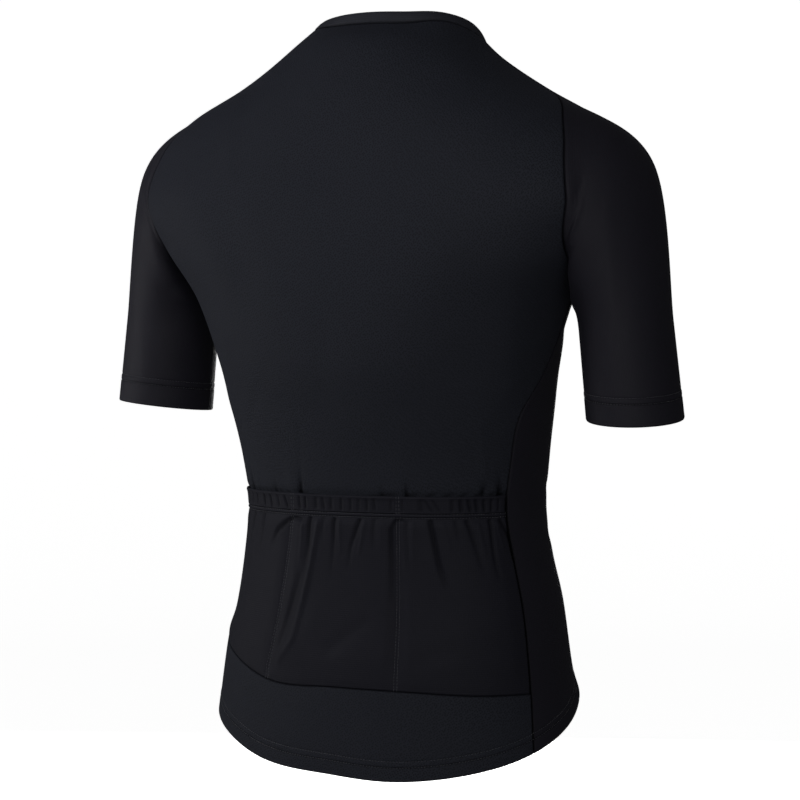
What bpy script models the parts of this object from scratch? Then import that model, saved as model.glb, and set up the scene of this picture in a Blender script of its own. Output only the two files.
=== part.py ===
"""Short-sleeved road cycling jersey in its worn shape, with no wearer inside.

Every cloth piece is cut from one torso surface or from a sleeve that leaves it, so that pieces meet along
shared seams. Metres, +Z up, chest towards -Y, the wearer's left towards +X. The origin is the middle of the
neck opening at the height where the collar crosses the shoulders.
"""

import math

import bmesh
import bpy
import numpy as np
from mathutils import Matrix

for thing in list(bpy.data.objects):
    bpy.data.objects.remove(thing, do_unlink=True)

CLOTH = 0.0012
TAPE = 0.0010
SEAM_GAP = 0.0003
FACE_GAP = 0.0003
TAPE_GAP = 0.0007

# The torso is a stack of rings. Each runs from centre back (0 degrees) round to centre front (180 degrees).
RING_COLUMNS = ("half_width", "back", "front", "centre_y", "square_back", "square_front")
RINGS = {
    "collar seam": (0.0840, 0.069, 0.080, -0.001, 2.00, 2.00),
    "yoke": (0.1065, 0.096, 0.092, -0.004, 2.00, 2.00),
    "shoulder end": (0.1510, 0.112, 0.106, 0.000, 2.10, 2.05),
    "upper cap": (0.1995, 0.121, 0.115, 0.004, 2.30, 2.10),
    "cap": (0.2318, 0.126, 0.119, 0.008, 2.55, 2.15),
    "deltoid": (0.2426, 0.129, 0.121, 0.014, 2.70, 2.15),
    "upper chest": (0.2130, 0.129, 0.121, 0.018, 2.70, 2.05),
    "armpit": (0.1790, 0.126, 0.118, 0.020, 2.60, 1.90),
    "chest": (0.1605, 0.119, 0.117, 0.022, 2.30, 2.30),
    "ribs": (0.1520, 0.113, 0.113, 0.016, 2.30, 2.30),
    "above waist": (0.1440, 0.109, 0.109, 0.010, 2.30, 2.30),
    "waist": (0.1395, 0.107, 0.107, 0.006, 2.30, 2.30),
    "below waist": (0.1440, 0.111, 0.112, 0.002, 2.30, 2.30),
    "hips": (0.1525, 0.119, 0.120, -0.001, 2.28, 2.28),
    "pocket foot": (0.1622, 0.128, 0.128, 0.000, 2.25, 2.25),
    "hem": (0.1698, 0.134, 0.134, 0.003, 2.25, 2.25),
}
RING_AT = {name: index for index, name in enumerate(RINGS)}
NECK, SHOULDER_END, ARMPIT = RING_AT["collar seam"], RING_AT["shoulder end"], RING_AT["armpit"]
POCKET_FOOT, HEM = RING_AT["pocket foot"], RING_AT["hem"]

# Heights of the rings. A level ring has one height. A sloping one has a height every 30 degrees from centre
# back to centre front, and the same on both sides. Three differ from side to side: the neck is worn a little
# turned, and the hem drops at the back and rides up on the wearer's left.
ANGLE_STEP = 30
HEIGHTS = {
    "collar seam": {
        0: 0.0095, 30: 0.0089, 60: 0.0072, 90: -0.0030, 120: -0.0220, 150: -0.0510, 180: -0.0650,
        -150: -0.0510, -120: -0.0220, -90: -0.0030, -60: 0.0114, -30: 0.0097,
    },
    "yoke": (-0.0060, -0.0080, -0.0130, -0.0230, -0.0450, -0.0740, -0.0880),
    "shoulder end": (-0.0450, -0.0450, -0.0445, -0.0500, -0.0710, -0.1010, -0.1120),
    "upper cap": (-0.0830, -0.0810, -0.0740, -0.0750, -0.0950, -0.1280, -0.1400),
    "cap": (-0.1190, -0.1160, -0.1080, -0.1060, -0.1230, -0.1540, -0.1650),
    "deltoid": (-0.1540, -0.1520, -0.1480, -0.1470, -0.1580, -0.1820, -0.1900),
    "upper chest": (-0.1940, -0.1940, -0.1940, -0.1940, -0.2000, -0.2120, -0.2160),
    "armpit": (-0.2390, -0.2390, -0.2390, -0.2390, -0.2420, -0.2480, -0.2500),
    "chest": -0.295,
    "ribs": -0.340,
    "above waist": -0.384,
    "waist": -0.428,
    "below waist": -0.472,
    "hips": (-0.5260, -0.5250, -0.5220, -0.5180, -0.5140, -0.5110, -0.5100),
    "pocket foot": {
        0: -0.5835, 30: -0.5825, 60: -0.5590, 90: -0.5370, 120: -0.5400, 150: -0.5450, 180: -0.5480,
        -150: -0.5550, -120: -0.5700, -90: -0.5880, -60: -0.5890, -30: -0.5850,
    },
    "hem": {
        0: -0.6602, 30: -0.6526, 60: -0.6270, 90: -0.6020, 120: -0.5850, 150: -0.5800, 180: -0.5820,
        -150: -0.5840, -120: -0.5915, -90: -0.6262, -60: -0.6520, -30: -0.6634,
    },
}

# Seams, as degrees from centre back. Both meet on the shoulder, and from its end they part round the armhole.
SHOULDER_SEAM = 90.0
BACK_EDGE = {
    "shoulder end": 90, "upper cap": 76, "cap": 70, "deltoid": 69, "upper chest": 74, "armpit": 94,
    "chest": 91, "ribs": 77.5, "above waist": 74.5, "waist": 73, "below waist": 74, "hips": 74.5,
    "pocket foot": 74.5, "hem": 73.5,
}
FRONT_EDGE = {
    "shoulder end": 90, "upper cap": 103, "cap": 111, "deltoid": 115, "upper chest": 115.5, "armpit": 108,
    "chest": 111, "ribs": 113, "above waist": 112, "waist": 111, "below waist": 110, "hips": 109,
    "pocket foot": 108, "hem": 107,
}

# Places along the rings where cloth pieces have their rows and columns.
BACK_COLUMNS = 24
SIDE_COLUMNS = 5
FRONT_COLUMNS = 12
SHOULDER_ROWS = 3
ARMHOLE_ROWS = 9
BODY_ROWS = 11
HEM_ROWS = 3
ARMPIT_COLUMNS = 3

# Sleeves: the middle and the half sizes of three sections. Lean is the rise of the outer end of a section in
# degrees, and dip the fall of its rear end.
SLEEVE_COLUMNS = ("x", "y", "z", "half_across", "half_deep", "lean")
SLEEVE_RINGS = {
    "shoulder cap": (0.2212, 0.0130, -0.1800, 0.0745, 0.0720, 68.0),
    "biceps": (0.2353, 0.0165, -0.2620, 0.0400, 0.0520, 10.0),
    "cuff": (0.2440, 0.0160, -0.3440, 0.0420, 0.0500, 0.0),
}
# The cuffs are worn differently: lean and dip in degrees, and how much higher each hangs.
CUFF_LEAN = {"left": 6.2, "right": -2.7}
CUFF_DIP = {"left": -2.7, "right": 6.0}
CUFF_LIFT = {"left": 0.0035, "right": 0.0008}
CAP_ROWS, ARM_ROWS, CUFF_ROWS = 5, 4, 4
# Above the first height the sleeve leaves its seam squarely. Below the second it drops away in a crease.
CREASE_FROM, CREASE_FULL, CREASE_DROP = -0.150, -0.225, 0.008

# Collar: a low band that stands on the neck seam and leans in a little. Its height goes round as above.
COLLAR_HEIGHT = {
    0: 0.0102, 30: 0.0085, 60: 0.0052, 90: 0.0085, 120: 0.0115, 150: 0.0138, 180: 0.0150,
    -150: 0.0138, -120: 0.0120, -90: 0.0126, -60: 0.0080, -30: 0.0101,
}
COLLAR_LEAN = {"back": 0.0015, "side": 0.0068}
COLLAR_COLUMNS, COLLAR_ROWS = 36, 2

# Zip down the chest. The tapes reach the collar's edge, which is share 1 of its height.
ZIP_HALF_GAP = 0.0045
TAPE_HALF_GAP = 0.0016
TAPE_OUTER = 0.0130
TAPE_COLUMNS = 2
TAPE_COLLAR_SHARES = (1.0, 0.5, 0.05)

# Slider at the top of the zip, at this share of the collar's height, and the pull tab that swings on its
# bridge. The neck of the slider joins its two plates through the gap between the tapes.
SLIDER_SHARE = 0.52
SLIDER = {"width": 0.0080, "height": 0.0100, "plate": 0.0018, "back_height": 0.0090, "bevel": 0.0004}
SLIDER_NECK = {"width": 0.0022, "height": 0.0035, "rise": 0.0020}
BRIDGE = {"pin_radius": 0.0008, "stand_off": 0.0032, "lug": 0.0009, "inside": 0.0040, "lug_height": 0.0024}
TAB = {"width": 0.0046, "thick": 0.0012, "from": 0.00165, "to": 0.0200, "bevel": 0.0004, "tilt": 16.0}
EYE = {"radius": 0.0019, "hole": 0.0011, "width": 0.0034, "sides": 32}

# Pockets, on the lower back from seam to seam. Angles are degrees from centre back, + towards the wearer's left.
POCKET_TOP_Z = -0.4115
BAND_HEIGHT = 0.0165
POCKET_GAP = 0.0010
DIVIDERS = (-27.5, 27.5)
DIVIDER_REACH = 12
EDGE_REACH = 10
POCKET_FULLNESS = 0.0008
POCKET_LOOSE = 0.0020
LOOSE_ABOVE_FOOT = 1.4
BAND = {"gap": 0.0002, "waves": 44, "spread": 78, "depth": 0.0006, "middle_share": 0.45, "calm": 15, "full": 45}
POCKET_COLUMNS, POCKET_ROWS = 60, 10
BAND_COLUMNS, BAND_ROWS = 132, 2
HALVINGS = 40

# Gathers that hang from the band: angle at the band, length, how far the foot of each swings, depth, width.
GATHER_COLUMNS = ("angle", "length", "swing", "depth", "width")
GATHERS = (
    (62.0, 0.030, 6.0, 0.0012, 3.0),
    (22.0, 0.020, 3.0, 0.0014, 2.6),
    (17.0, 0.034, 1.0, 0.0012, 2.4),
    (7.0, 0.024, 0.5, 0.0010, 2.2),
    (-6.0, 0.030, 2.0, 0.0014, 2.6),
    (-20.0, 0.034, 1.5, 0.0013, 2.4),
    (-40.0, 0.046, -3.0, 0.0016, 3.0),
    (-57.0, 0.038, -3.0, 0.0016, 3.0),
    (-68.0, 0.034, -2.0, 0.0018, 3.0),
    (-74.0, 0.026, -3.0, 0.0016, 2.4),
)


def curve_at(values, s):
    """A smooth curve read at s through values at 0, 1, 2 and so on. Values may differ from point to point."""
    values = np.asarray(values, float)
    s = np.clip(np.asarray(s, float), 0, len(values) - 1)
    values = values.reshape(len(values), *([1] * (s.ndim - values.ndim + 1)), *values.shape[1:])
    values = np.broadcast_to(values, (len(values), *s.shape))
    i = np.minimum(s.astype(int), len(values) - 2)
    t = s - i

    def at(number):
        return np.take_along_axis(values, np.clip(number, 0, len(values) - 1)[None], axis=0)[0]

    before, start, end, after = at(i - 1), at(i), at(i + 1), at(i + 2)
    slope_in = np.where(i > 0, (end - before) / 2, end - start)
    slope_out = np.where(i < len(values) - 2, (after - start) / 2, end - start)
    return (
        (2 * t**3 - 3 * t**2 + 1) * start
        + (t**3 - 2 * t**2 + t) * slope_in
        + (3 * t**2 - 2 * t**3) * end
        + (t**3 - t**2) * slope_out
    )


def ring_value(column, s):
    number = RING_COLUMNS.index(column)
    return curve_at([row[number] for row in RINGS.values()], s)


def all_round(values, angle):
    """A value given at whole steps of angle, smooth all the way round."""
    places = np.arange(-180 - 2 * ANGLE_STEP, 180 + 3 * ANGLE_STEP, ANGLE_STEP)
    wrapped = [int((place + 150) % 360 - 150) for place in places]
    return curve_at([values[place] for place in wrapped], (angle - places[0]) / ANGLE_STEP)


def ring_height(name, angle):
    """Height of a ring at an angle."""
    heights = HEIGHTS[name]
    if isinstance(heights, float):
        return np.full(np.shape(angle), heights)
    if isinstance(heights, tuple):
        heights = {sign * ANGLE_STEP * k: z for k, z in enumerate(heights) for sign in (1, -1)}
    return all_round(heights, angle)


def seam_angle(seam, s):
    below = curve_at([seam[name] for name in list(RINGS)[SHOULDER_END:]], np.asarray(s, float) - SHOULDER_END)
    return np.where(np.asarray(s) <= SHOULDER_END, SHOULDER_SEAM, below)


def smooth(start, end, value):
    t = np.clip((np.asarray(value, float) - start) / (end - start), 0, 1)
    return t * t * (3 - 2 * t)


def unit(vectors):
    return vectors / np.maximum(np.linalg.norm(vectors, axis=-1, keepdims=True), 1e-12)


def torso(angle, s):
    """Points of the torso surface at these angles, in degrees from centre back, and places s along the rings."""
    angle, s = np.broadcast_arrays(np.asarray(angle, float), np.asarray(s, float))
    turn = np.radians(angle)
    behind = np.cos(turn) >= 0
    depth = np.where(behind, ring_value("back", s), ring_value("front", s))
    square = np.where(behind, ring_value("square_back", s), ring_value("square_front", s))
    reach = (
        (np.abs(np.sin(turn)) / ring_value("half_width", s)) ** square
        + (np.abs(np.cos(turn)) / depth) ** square
    ) ** (-1 / square)
    z = curve_at([ring_height(name, angle) for name in RINGS], s)
    return np.stack([reach * np.sin(turn), ring_value("centre_y", s) + reach * np.cos(turn), z], axis=-1)


def torso_normal(angle, s):
    round_it = torso(np.asarray(angle) + 0.5, s) - torso(np.asarray(angle) - 0.5, s)
    down = torso(angle, np.asarray(s) + 0.02) - torso(angle, np.asarray(s) - 0.02)
    return unit(np.cross(round_it, down))


def place_at_z(angle, z):
    """The place along the rings where the torso at this angle comes down to height z."""
    low, high = np.full(np.shape(angle), float(NECK)), np.full(np.shape(angle), float(HEM))
    for _ in range(HALVINGS):
        middle = (low + high) / 2
        above = torso(angle, middle)[..., 2] > z
        low, high = np.where(above, middle, low), np.where(above, high, middle)
    return (low + high) / 2


def trimmed(points, closed=False):
    """A grid of points whose open edges are drawn in by half a seam gap."""
    points = points.copy()
    source = points.copy()
    points[0] += unit(source[1] - source[0]) * SEAM_GAP / 2
    points[-1] += unit(source[-2] - source[-1]) * SEAM_GAP / 2
    if not closed:
        points[:, 0] += unit(source[:, 1] - source[:, 0]) * SEAM_GAP / 2
        points[:, -1] += unit(source[:, -2] - source[:, -1]) * SEAM_GAP / 2
    return points


def fabric(name, colour, roughness=0.75, metallic=0.0):
    material = bpy.data.materials.new(name)
    material.use_nodes = True
    shader = material.node_tree.nodes["Principled BSDF"]
    shader.inputs["Base Color"].default_value = (*colour, 1)
    shader.inputs["Roughness"].default_value = roughness
    shader.inputs["Metallic"].default_value = metallic
    return material


collection = bpy.data.collections.new("cycling jersey")
bpy.context.scene.collection.children.link(collection)
cutters = bpy.data.collections.new("cutters")
cutters.hide_render = True
bpy.context.scene.collection.children.link(cutters)


def add_mesh(name, bm, material, into=None):
    bmesh.ops.recalc_face_normals(bm, faces=bm.faces)
    mesh = bpy.data.meshes.new(name)
    bm.to_mesh(mesh)
    bm.free()
    obj = bpy.data.objects.new(name, mesh)
    (into or collection).objects.link(obj)
    obj.data.materials.append(material)
    return obj


def cloth_wall(name, outer, normals, thickness, material, closed=False):
    """One piece of cloth: a grid of outer points, the same grid moved in by the thickness, and its edges."""
    inner = outer - normals * thickness
    outer, inner = trimmed(outer, closed), trimmed(inner, closed)
    rows, columns = outer.shape[:2]
    bm = bmesh.new()
    out = [[bm.verts.new(p) for p in row] for row in outer]
    inn = [[bm.verts.new(p) for p in row] for row in inner]
    last = columns if closed else columns - 1
    for i in range(rows - 1):
        for j in range(last):
            k = (j + 1) % columns
            first = np.linalg.norm(outer[i, j] - outer[i + 1, k])
            second = np.linalg.norm(outer[i, k] - outer[i + 1, j])
            for grid, flip in ((out, False), (inn, True)):
                a, b, c, d = grid[i][j], grid[i][k], grid[i + 1][k], grid[i + 1][j]
                halves = ((a, b, c), (a, c, d)) if first <= second else ((a, b, d), (b, c, d))
                for half in halves:
                    bm.faces.new(half[::-1] if flip else half)
    rims = []
    for i in (0, rows - 1):
        rims += [((i, j), (i, (j + 1) % columns)) for j in range(last)]
    if not closed:
        for j in (0, columns - 1):
            rims += [((i, j), (i + 1, j)) for i in range(rows - 1)]
    for (i, j), (k, m) in rims:
        bm.faces.new((out[i][j], out[k][m], inn[k][m], inn[i][j]))
    return add_mesh(name, bm, material)


def torso_panel(name, rows, right, left, columns, material, lift=None, thickness=CLOTH):
    """A panel of the torso between two edge angles, with its rows at these places along the rings."""
    rows = np.asarray(rows, float)
    if rows.ndim == 1:
        rows = np.repeat(rows[:, None], columns + 1, axis=1)
    share = np.linspace(0, 1, columns + 1)[None, :]
    angle = right[:, None] + (left - right)[:, None] * share
    normal = torso_normal(angle, rows)
    points = torso(angle, rows)
    if lift is not None:
        points = points + normal * lift(angle, rows)[..., None]
    return cloth_wall(name, points, normal, thickness, material)


mesh_knit = fabric("black_mesh_knit", (0.012, 0.013, 0.016))
smooth_knit = fabric("black_smooth_knit", (0.016, 0.017, 0.021), 0.6)
elastic = fabric("black_elastic", (0.014, 0.015, 0.018), 0.65)
zip_tape = fabric("black_zip_tape", (0.010, 0.010, 0.012), 0.7)
zip_metal = fabric("dark_zip_metal", (0.05, 0.05, 0.055), 0.35, 0.9)

upper_rows = np.linspace(NECK, SHOULDER_END, SHOULDER_ROWS + 1)
armhole_rows = np.linspace(SHOULDER_END, ARMPIT, ARMHOLE_ROWS + 1)
body_rows = np.linspace(ARMPIT, POCKET_FOOT, BODY_ROWS + 1)
hem_rows = np.linspace(POCKET_FOOT, HEM, HEM_ROWS + 1)
back_rows = np.concatenate([upper_rows, armhole_rows[1:], body_rows[1:]])
side_rows = np.concatenate([body_rows, hem_rows[1:]])
front_rows = np.concatenate([back_rows, hem_rows[1:]])

back_edge = seam_angle(BACK_EDGE, back_rows)
torso_panel("back_panel", back_rows, -back_edge, back_edge, BACK_COLUMNS, mesh_knit)
hem_edge = seam_angle(BACK_EDGE, hem_rows)
torso_panel("lower_back_panel", hem_rows, -hem_edge, hem_edge, BACK_COLUMNS, mesh_knit)
for side, sign in (("left", 1), ("right", -1)):
    torso_panel(
        "side_panel_" + side, side_rows, sign * seam_angle(BACK_EDGE, side_rows),
        sign * seam_angle(FRONT_EDGE, side_rows), SIDE_COLUMNS, smooth_knit,
    )


def zip_edge(rows, half_gap):
    """The angle at which a panel stops this far from the middle of the chest."""
    depth = ring_value("front", rows)
    return 180 - np.degrees(np.arctan2(half_gap, depth))


for side, sign in (("left", 1), ("right", -1)):
    torso_panel(
        "front_" + side, front_rows, sign * seam_angle(FRONT_EDGE, front_rows),
        sign * zip_edge(front_rows, ZIP_HALF_GAP), FRONT_COLUMNS, mesh_knit,
    )


def armhole(sign):
    """Angles and places of the seam that the sleeve leaves from: down the back, under the arm, up the chest."""
    under = np.linspace(0, 1, ARMPIT_COLUMNS + 1)[1:-1]
    back, front = seam_angle(BACK_EDGE, armhole_rows), seam_angle(FRONT_EDGE, armhole_rows)
    angles = np.concatenate([back, back[-1] + (front[-1] - back[-1]) * under, front[::-1][:-1]])
    places = np.concatenate([armhole_rows, np.full(len(under), float(ARMPIT)), armhole_rows[::-1][:-1]])
    return sign * angles, places


def sleeve_ring(name, sign, turns, lean=0.0, dip=0.0, lift=0.0):
    x, y, z, across, deep, own_lean = SLEEVE_RINGS[name]
    tilt, drop = math.radians(own_lean + lean), math.radians(dip)
    outward = np.array([sign * math.cos(tilt), 0, math.sin(tilt)])
    aft = np.array([0, math.cos(drop), -math.sin(drop)])
    centre = np.array([sign * x, y, z + lift])
    return centre + np.cos(turns)[:, None] * across * outward + np.sin(turns)[:, None] * deep * aft


def through(start, start_slope, middle, end, end_slope, t):
    """A smooth line of points from start through middle to end: t runs from 0 to 1 and on to 2."""
    middle_slope = (end - start) / 2
    if t <= 1:
        u, near, far, near_slope, far_slope = t, start, middle, start_slope, middle_slope
    else:
        u, near, far, near_slope, far_slope = t - 1, middle, end, middle_slope, end_slope
    return (
        (2 * u**3 - 3 * u**2 + 1) * near
        + (u**3 - 2 * u**2 + u) * near_slope
        + (3 * u**2 - 2 * u**3) * far
        + (u**3 - u**2) * far_slope
    )


def sleeve_surface(side, sign, steps):
    """Rows of points from the armhole to the cuff. Steps run 0 at the seam, 1 cap, 2 biceps, 3 cuff."""
    angles, places = armhole(sign)
    seam = torso(angles, places)
    along = unit(np.roll(seam, -1, axis=0) - np.roll(seam, 1, axis=0))
    away = unit(np.cross(along, torso_normal(angles, places)))
    away *= np.where(away[:, :1] * sign < 0, -1, 1)
    middle = (seam.min(axis=0) + seam.max(axis=0)) / 2
    half = (seam.max(axis=0) - seam.min(axis=0)) / 2
    turns = np.arctan2((seam[:, 1] - middle[1]) / half[1], (seam[:, 2] - middle[2]) / half[2])
    cap = sleeve_ring("shoulder cap", sign, turns)
    biceps = sleeve_ring("biceps", sign, turns)
    cuff = sleeve_ring("cuff", sign, turns, CUFF_LEAN[side], CUFF_DIP[side], CUFF_LIFT[side])
    crease = smooth(CREASE_FROM, CREASE_FULL, seam[:, 2])[:, None]
    dropping = unit(cap - seam - np.array([0, 0, CREASE_DROP]))
    leave = unit(away * (1 - crease) + dropping * crease)
    reach = np.linalg.norm(cap - seam, axis=1, keepdims=True)
    rows = []
    for step in steps:
        if step <= 2:
            rows.append(through(seam, leave * reach, cap, biceps, cuff - biceps, step))
        else:
            rows.append(biceps + (cuff - biceps) * (step - 2))
    return np.array(rows)


def tube_normals(points):
    """Outward normals of a grid that closes on itself along its columns."""
    across = np.roll(points, -1, axis=1) - np.roll(points, 1, axis=1)
    normals = unit(np.cross(np.gradient(points, axis=0), across))
    outward = points - points.mean(axis=1, keepdims=True)
    return normals if (outward * normals).sum() > 0 else -normals


sleeve_steps = np.concatenate([
    np.linspace(0, 1, CAP_ROWS + 1), np.linspace(1, 2, ARM_ROWS + 1)[1:], np.linspace(2, 3, CUFF_ROWS + 1)[1:],
])
for side, sign in (("left", 1), ("right", -1)):
    grid = sleeve_surface(side, sign, sleeve_steps)
    cloth_wall("sleeve_" + side, grid, tube_normals(grid), CLOTH, smooth_knit, closed=True)


def collar_surface(angle, share):
    """Points of the collar band: share runs from 0 at the neck seam to 1 at its top edge."""
    foot = torso(angle, float(NECK))
    turn = np.radians(angle)
    forward = (1 - np.cos(turn)) / 2
    height = all_round(COLLAR_HEIGHT, angle)
    lean = COLLAR_LEAN["side"] * np.sin(turn) ** 2 + COLLAR_LEAN["back"] * (1 - forward) * np.cos(turn) ** 2
    middle = np.array([0, float(ring_value("centre_y", NECK)), 0])
    outward = unit(foot * np.array([1, 1, 0]) - middle)
    up = np.array([0, 0, 1.0])
    rise = (SEAM_GAP + height * share)[..., None]
    return foot - outward * (lean * share)[..., None] + up * rise, outward


collar_turns = np.linspace(-1, 1, COLLAR_COLUMNS + 1) * float(zip_edge(float(NECK), ZIP_HALF_GAP))
collar_rows = [collar_surface(collar_turns, k / COLLAR_ROWS) for k in range(COLLAR_ROWS, -1, -1)]
collar_grid = np.array([points for points, outward in collar_rows])
collar_out = np.array([outward for points, outward in collar_rows])
cloth_wall("collar", collar_grid, collar_out, CLOTH, smooth_knit)


def to_divider(angle):
    """0 on a pocket divider, rising to 1 away from both."""
    nearest = np.min([np.abs(angle - divider) for divider in DIVIDERS], axis=0)
    return smooth(0, DIVIDER_REACH, nearest)


def gathers(angle, below_band):
    depth = 0
    for row in GATHERS:
        gather = dict(zip(GATHER_COLUMNS, row))
        fade = 1 - smooth(0, gather["length"], below_band)
        middle = gather["angle"] + gather["swing"] * below_band / gather["length"]
        depth = depth + gather["depth"] * fade * np.exp(-(((angle - middle) / gather["width"]) ** 2))
    return depth


def pocket_lift(angle, place):
    z = torso(angle, place)[..., 2]
    below_band = np.maximum(POCKET_TOP_Z - BAND_HEIGHT - z, 0)
    inside = smooth(0, EDGE_REACH, seam_angle(BACK_EDGE, place) - np.abs(angle))
    free = inside * smooth(POCKET_FOOT, POCKET_FOOT - LOOSE_ABOVE_FOOT, place)
    full = (POCKET_FULLNESS + POCKET_LOOSE * to_divider(angle)) * free
    gathered = gathers(angle, below_band) * smooth(POCKET_FOOT, POCKET_FOOT - LOOSE_ABOVE_FOOT, place)
    return CLOTH + POCKET_GAP + np.maximum(full - gathered, 0)


def band_lift(angle, place):
    wave = np.sin(math.pi * BAND["waves"] * angle / BAND["spread"])
    calm = (1 - BAND["middle_share"]) * (1 - smooth(BAND["calm"], BAND["full"], np.abs(angle)))
    return CLOTH + POCKET_GAP + BAND["gap"] + BAND["depth"] * (1 + wave * (1 - calm))


def pocket_rows(z_from, z_to, count, columns):
    """Rows whose top edge lies level across the back."""
    share = np.linspace(0, 1, columns + 1)
    edge = seam_angle(BACK_EDGE, float(RING_AT["waist"]))
    angle = -edge + 2 * edge * share
    top = place_at_z(angle, z_from)
    foot_place = np.full(columns + 1, float(POCKET_FOOT)) if z_to is None else place_at_z(angle, z_to)
    mix = np.linspace(0, 1, count + 1)[:, None]
    return top + (foot_place - top) * mix


band_grid = pocket_rows(POCKET_TOP_Z, POCKET_TOP_Z - BAND_HEIGHT, BAND_ROWS, BAND_COLUMNS)
band_side = seam_angle(BACK_EDGE, band_grid[:, 0])
torso_panel("pocket_band", band_grid, -band_side, band_side, BAND_COLUMNS, elastic, band_lift)
pocket_grid = pocket_rows(POCKET_TOP_Z - BAND_HEIGHT, None, POCKET_ROWS, POCKET_COLUMNS)
pocket_side = seam_angle(BACK_EDGE, pocket_grid[:, 0])
torso_panel("pocket_panel", pocket_grid, -pocket_side, pocket_side, POCKET_COLUMNS, smooth_knit, pocket_lift)

# Zip tapes lie just inside the front edges and run up inside the collar.
tape_in = CLOTH + TAPE_GAP
for side, sign in (("left", 1), ("right", -1)):
    rows, outs = [], []
    for share in TAPE_COLLAR_SHARES:
        edges = [float(zip_edge(float(NECK), gap)) for gap in (TAPE_OUTER, TAPE_HALF_GAP)]
        points, outward = collar_surface(sign * np.linspace(*edges, TAPE_COLUMNS + 1), share)
        rows.append(points - outward * tape_in)
        outs.append(outward)
    for place in front_rows:
        edges = [float(zip_edge(place, gap)) for gap in (TAPE_OUTER, TAPE_HALF_GAP)]
        angles = sign * np.linspace(*edges, TAPE_COLUMNS + 1)
        normal = torso_normal(angles, place)
        rows.append(torso(angles, place) - normal * tape_in)
        outs.append(normal)
    cloth_wall("zip_tape_" + side, np.array(rows), np.array(outs), TAPE, zip_tape)


def box(name, size, centre, into, bevel=0.0):
    bm = bmesh.new()
    bmesh.ops.create_cube(bm, size=1.0)
    for vert in bm.verts:
        vert.co = [vert.co[k] * size[k] for k in range(3)]
    obj = add_mesh(name, bm, zip_metal, into)
    obj.location = centre
    if bevel:
        rounded = obj.modifiers.new("Rounded edges", "BEVEL")
        rounded.width = bevel
        rounded.segments = 2
    return obj


def rod(name, radius, length, centre, into):
    """A round bar that lies across the zip."""
    bm = bmesh.new()
    bmesh.ops.create_cone(
        bm, cap_ends=True, segments=EYE["sides"], radius1=radius, radius2=radius, depth=length,
    )
    bmesh.ops.rotate(bm, verts=bm.verts, matrix=Matrix.Rotation(math.pi / 2, 3, "Y"))
    obj = add_mesh(name, bm, zip_metal, into)
    obj.location = centre
    return obj


def combine(obj, other, operation):
    other.display_type = "WIRE"
    other.hide_render = True
    joined = obj.modifiers.new(operation.title() + " " + other.name, "BOOLEAN")
    joined.operation = operation
    joined.solver = "EXACT"
    joined.object = other


zip_top, _ = collar_surface(np.array([180.0]), SLIDER_SHARE)
slider_y, slider_z = float(zip_top[0, 1]), float(zip_top[0, 2])
front_y = slider_y + tape_in - FACE_GAP - SLIDER["plate"] / 2
back_y = slider_y + tape_in + TAPE + FACE_GAP + SLIDER["plate"] / 2
pin_y = slider_y - BRIDGE["stand_off"]
pin_place = (0, pin_y, slider_z)

slider = box(
    "zip_slider", (SLIDER["width"], SLIDER["plate"], SLIDER["height"]), (0, front_y, slider_z),
    collection, SLIDER["bevel"],
)
combine(slider, box(
    "slider back plate", (SLIDER["width"], SLIDER["plate"], SLIDER["back_height"]), (0, back_y, slider_z),
    cutters, SLIDER["bevel"],
), "UNION")
combine(slider, box(
    "slider neck", (SLIDER_NECK["width"], back_y - front_y, SLIDER_NECK["height"]),
    (0, (back_y + front_y) / 2, slider_z + SLIDER_NECK["rise"]), cutters,
), "UNION")
lug_end = pin_y - BRIDGE["lug_height"] / 2
for side, sign in (("left", 1), ("right", -1)):
    combine(slider, box(
        "bridge lug " + side, (BRIDGE["lug"], front_y - lug_end, BRIDGE["lug_height"]),
        (sign * (BRIDGE["inside"] + BRIDGE["lug"]) / 2, (front_y + lug_end) / 2, slider_z), cutters,
    ), "UNION")
combine(slider, rod(
    "bridge pin", BRIDGE["pin_radius"], BRIDGE["inside"] + BRIDGE["lug"], pin_place, cutters,
), "UNION")

pull = rod("zip_pull", EYE["radius"], EYE["width"], pin_place, collection)
tab_length = TAB["to"] - TAB["from"]
tab = box("pull tab", (TAB["width"], TAB["thick"], tab_length), pin_place, cutters, TAB["bevel"])
tab.data.transform(Matrix.Translation((0, 0, -TAB["from"] - tab_length / 2)))
tab.rotation_euler = (-math.radians(TAB["tilt"]), 0, 0)
combine(pull, tab, "UNION")
combine(pull, rod("eye hole", EYE["hole"], 2 * EYE["width"], pin_place, cutters), "DIFFERENCE")
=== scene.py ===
import functools
import math
from types import SimpleNamespace

import bpy
import numpy as np
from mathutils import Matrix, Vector


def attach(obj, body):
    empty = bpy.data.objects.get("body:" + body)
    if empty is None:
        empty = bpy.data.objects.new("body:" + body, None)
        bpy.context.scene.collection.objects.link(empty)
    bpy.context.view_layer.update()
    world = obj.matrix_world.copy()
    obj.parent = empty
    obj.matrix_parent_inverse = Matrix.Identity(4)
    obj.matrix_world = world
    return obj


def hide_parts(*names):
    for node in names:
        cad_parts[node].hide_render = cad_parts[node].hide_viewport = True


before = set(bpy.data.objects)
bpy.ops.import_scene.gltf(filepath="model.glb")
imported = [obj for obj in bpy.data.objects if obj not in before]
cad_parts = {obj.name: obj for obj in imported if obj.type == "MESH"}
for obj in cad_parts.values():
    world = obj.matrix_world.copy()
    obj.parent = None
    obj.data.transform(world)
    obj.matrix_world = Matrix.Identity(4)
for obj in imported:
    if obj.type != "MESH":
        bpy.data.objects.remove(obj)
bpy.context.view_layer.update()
print("frame loaded,", len(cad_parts), "solids")

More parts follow.
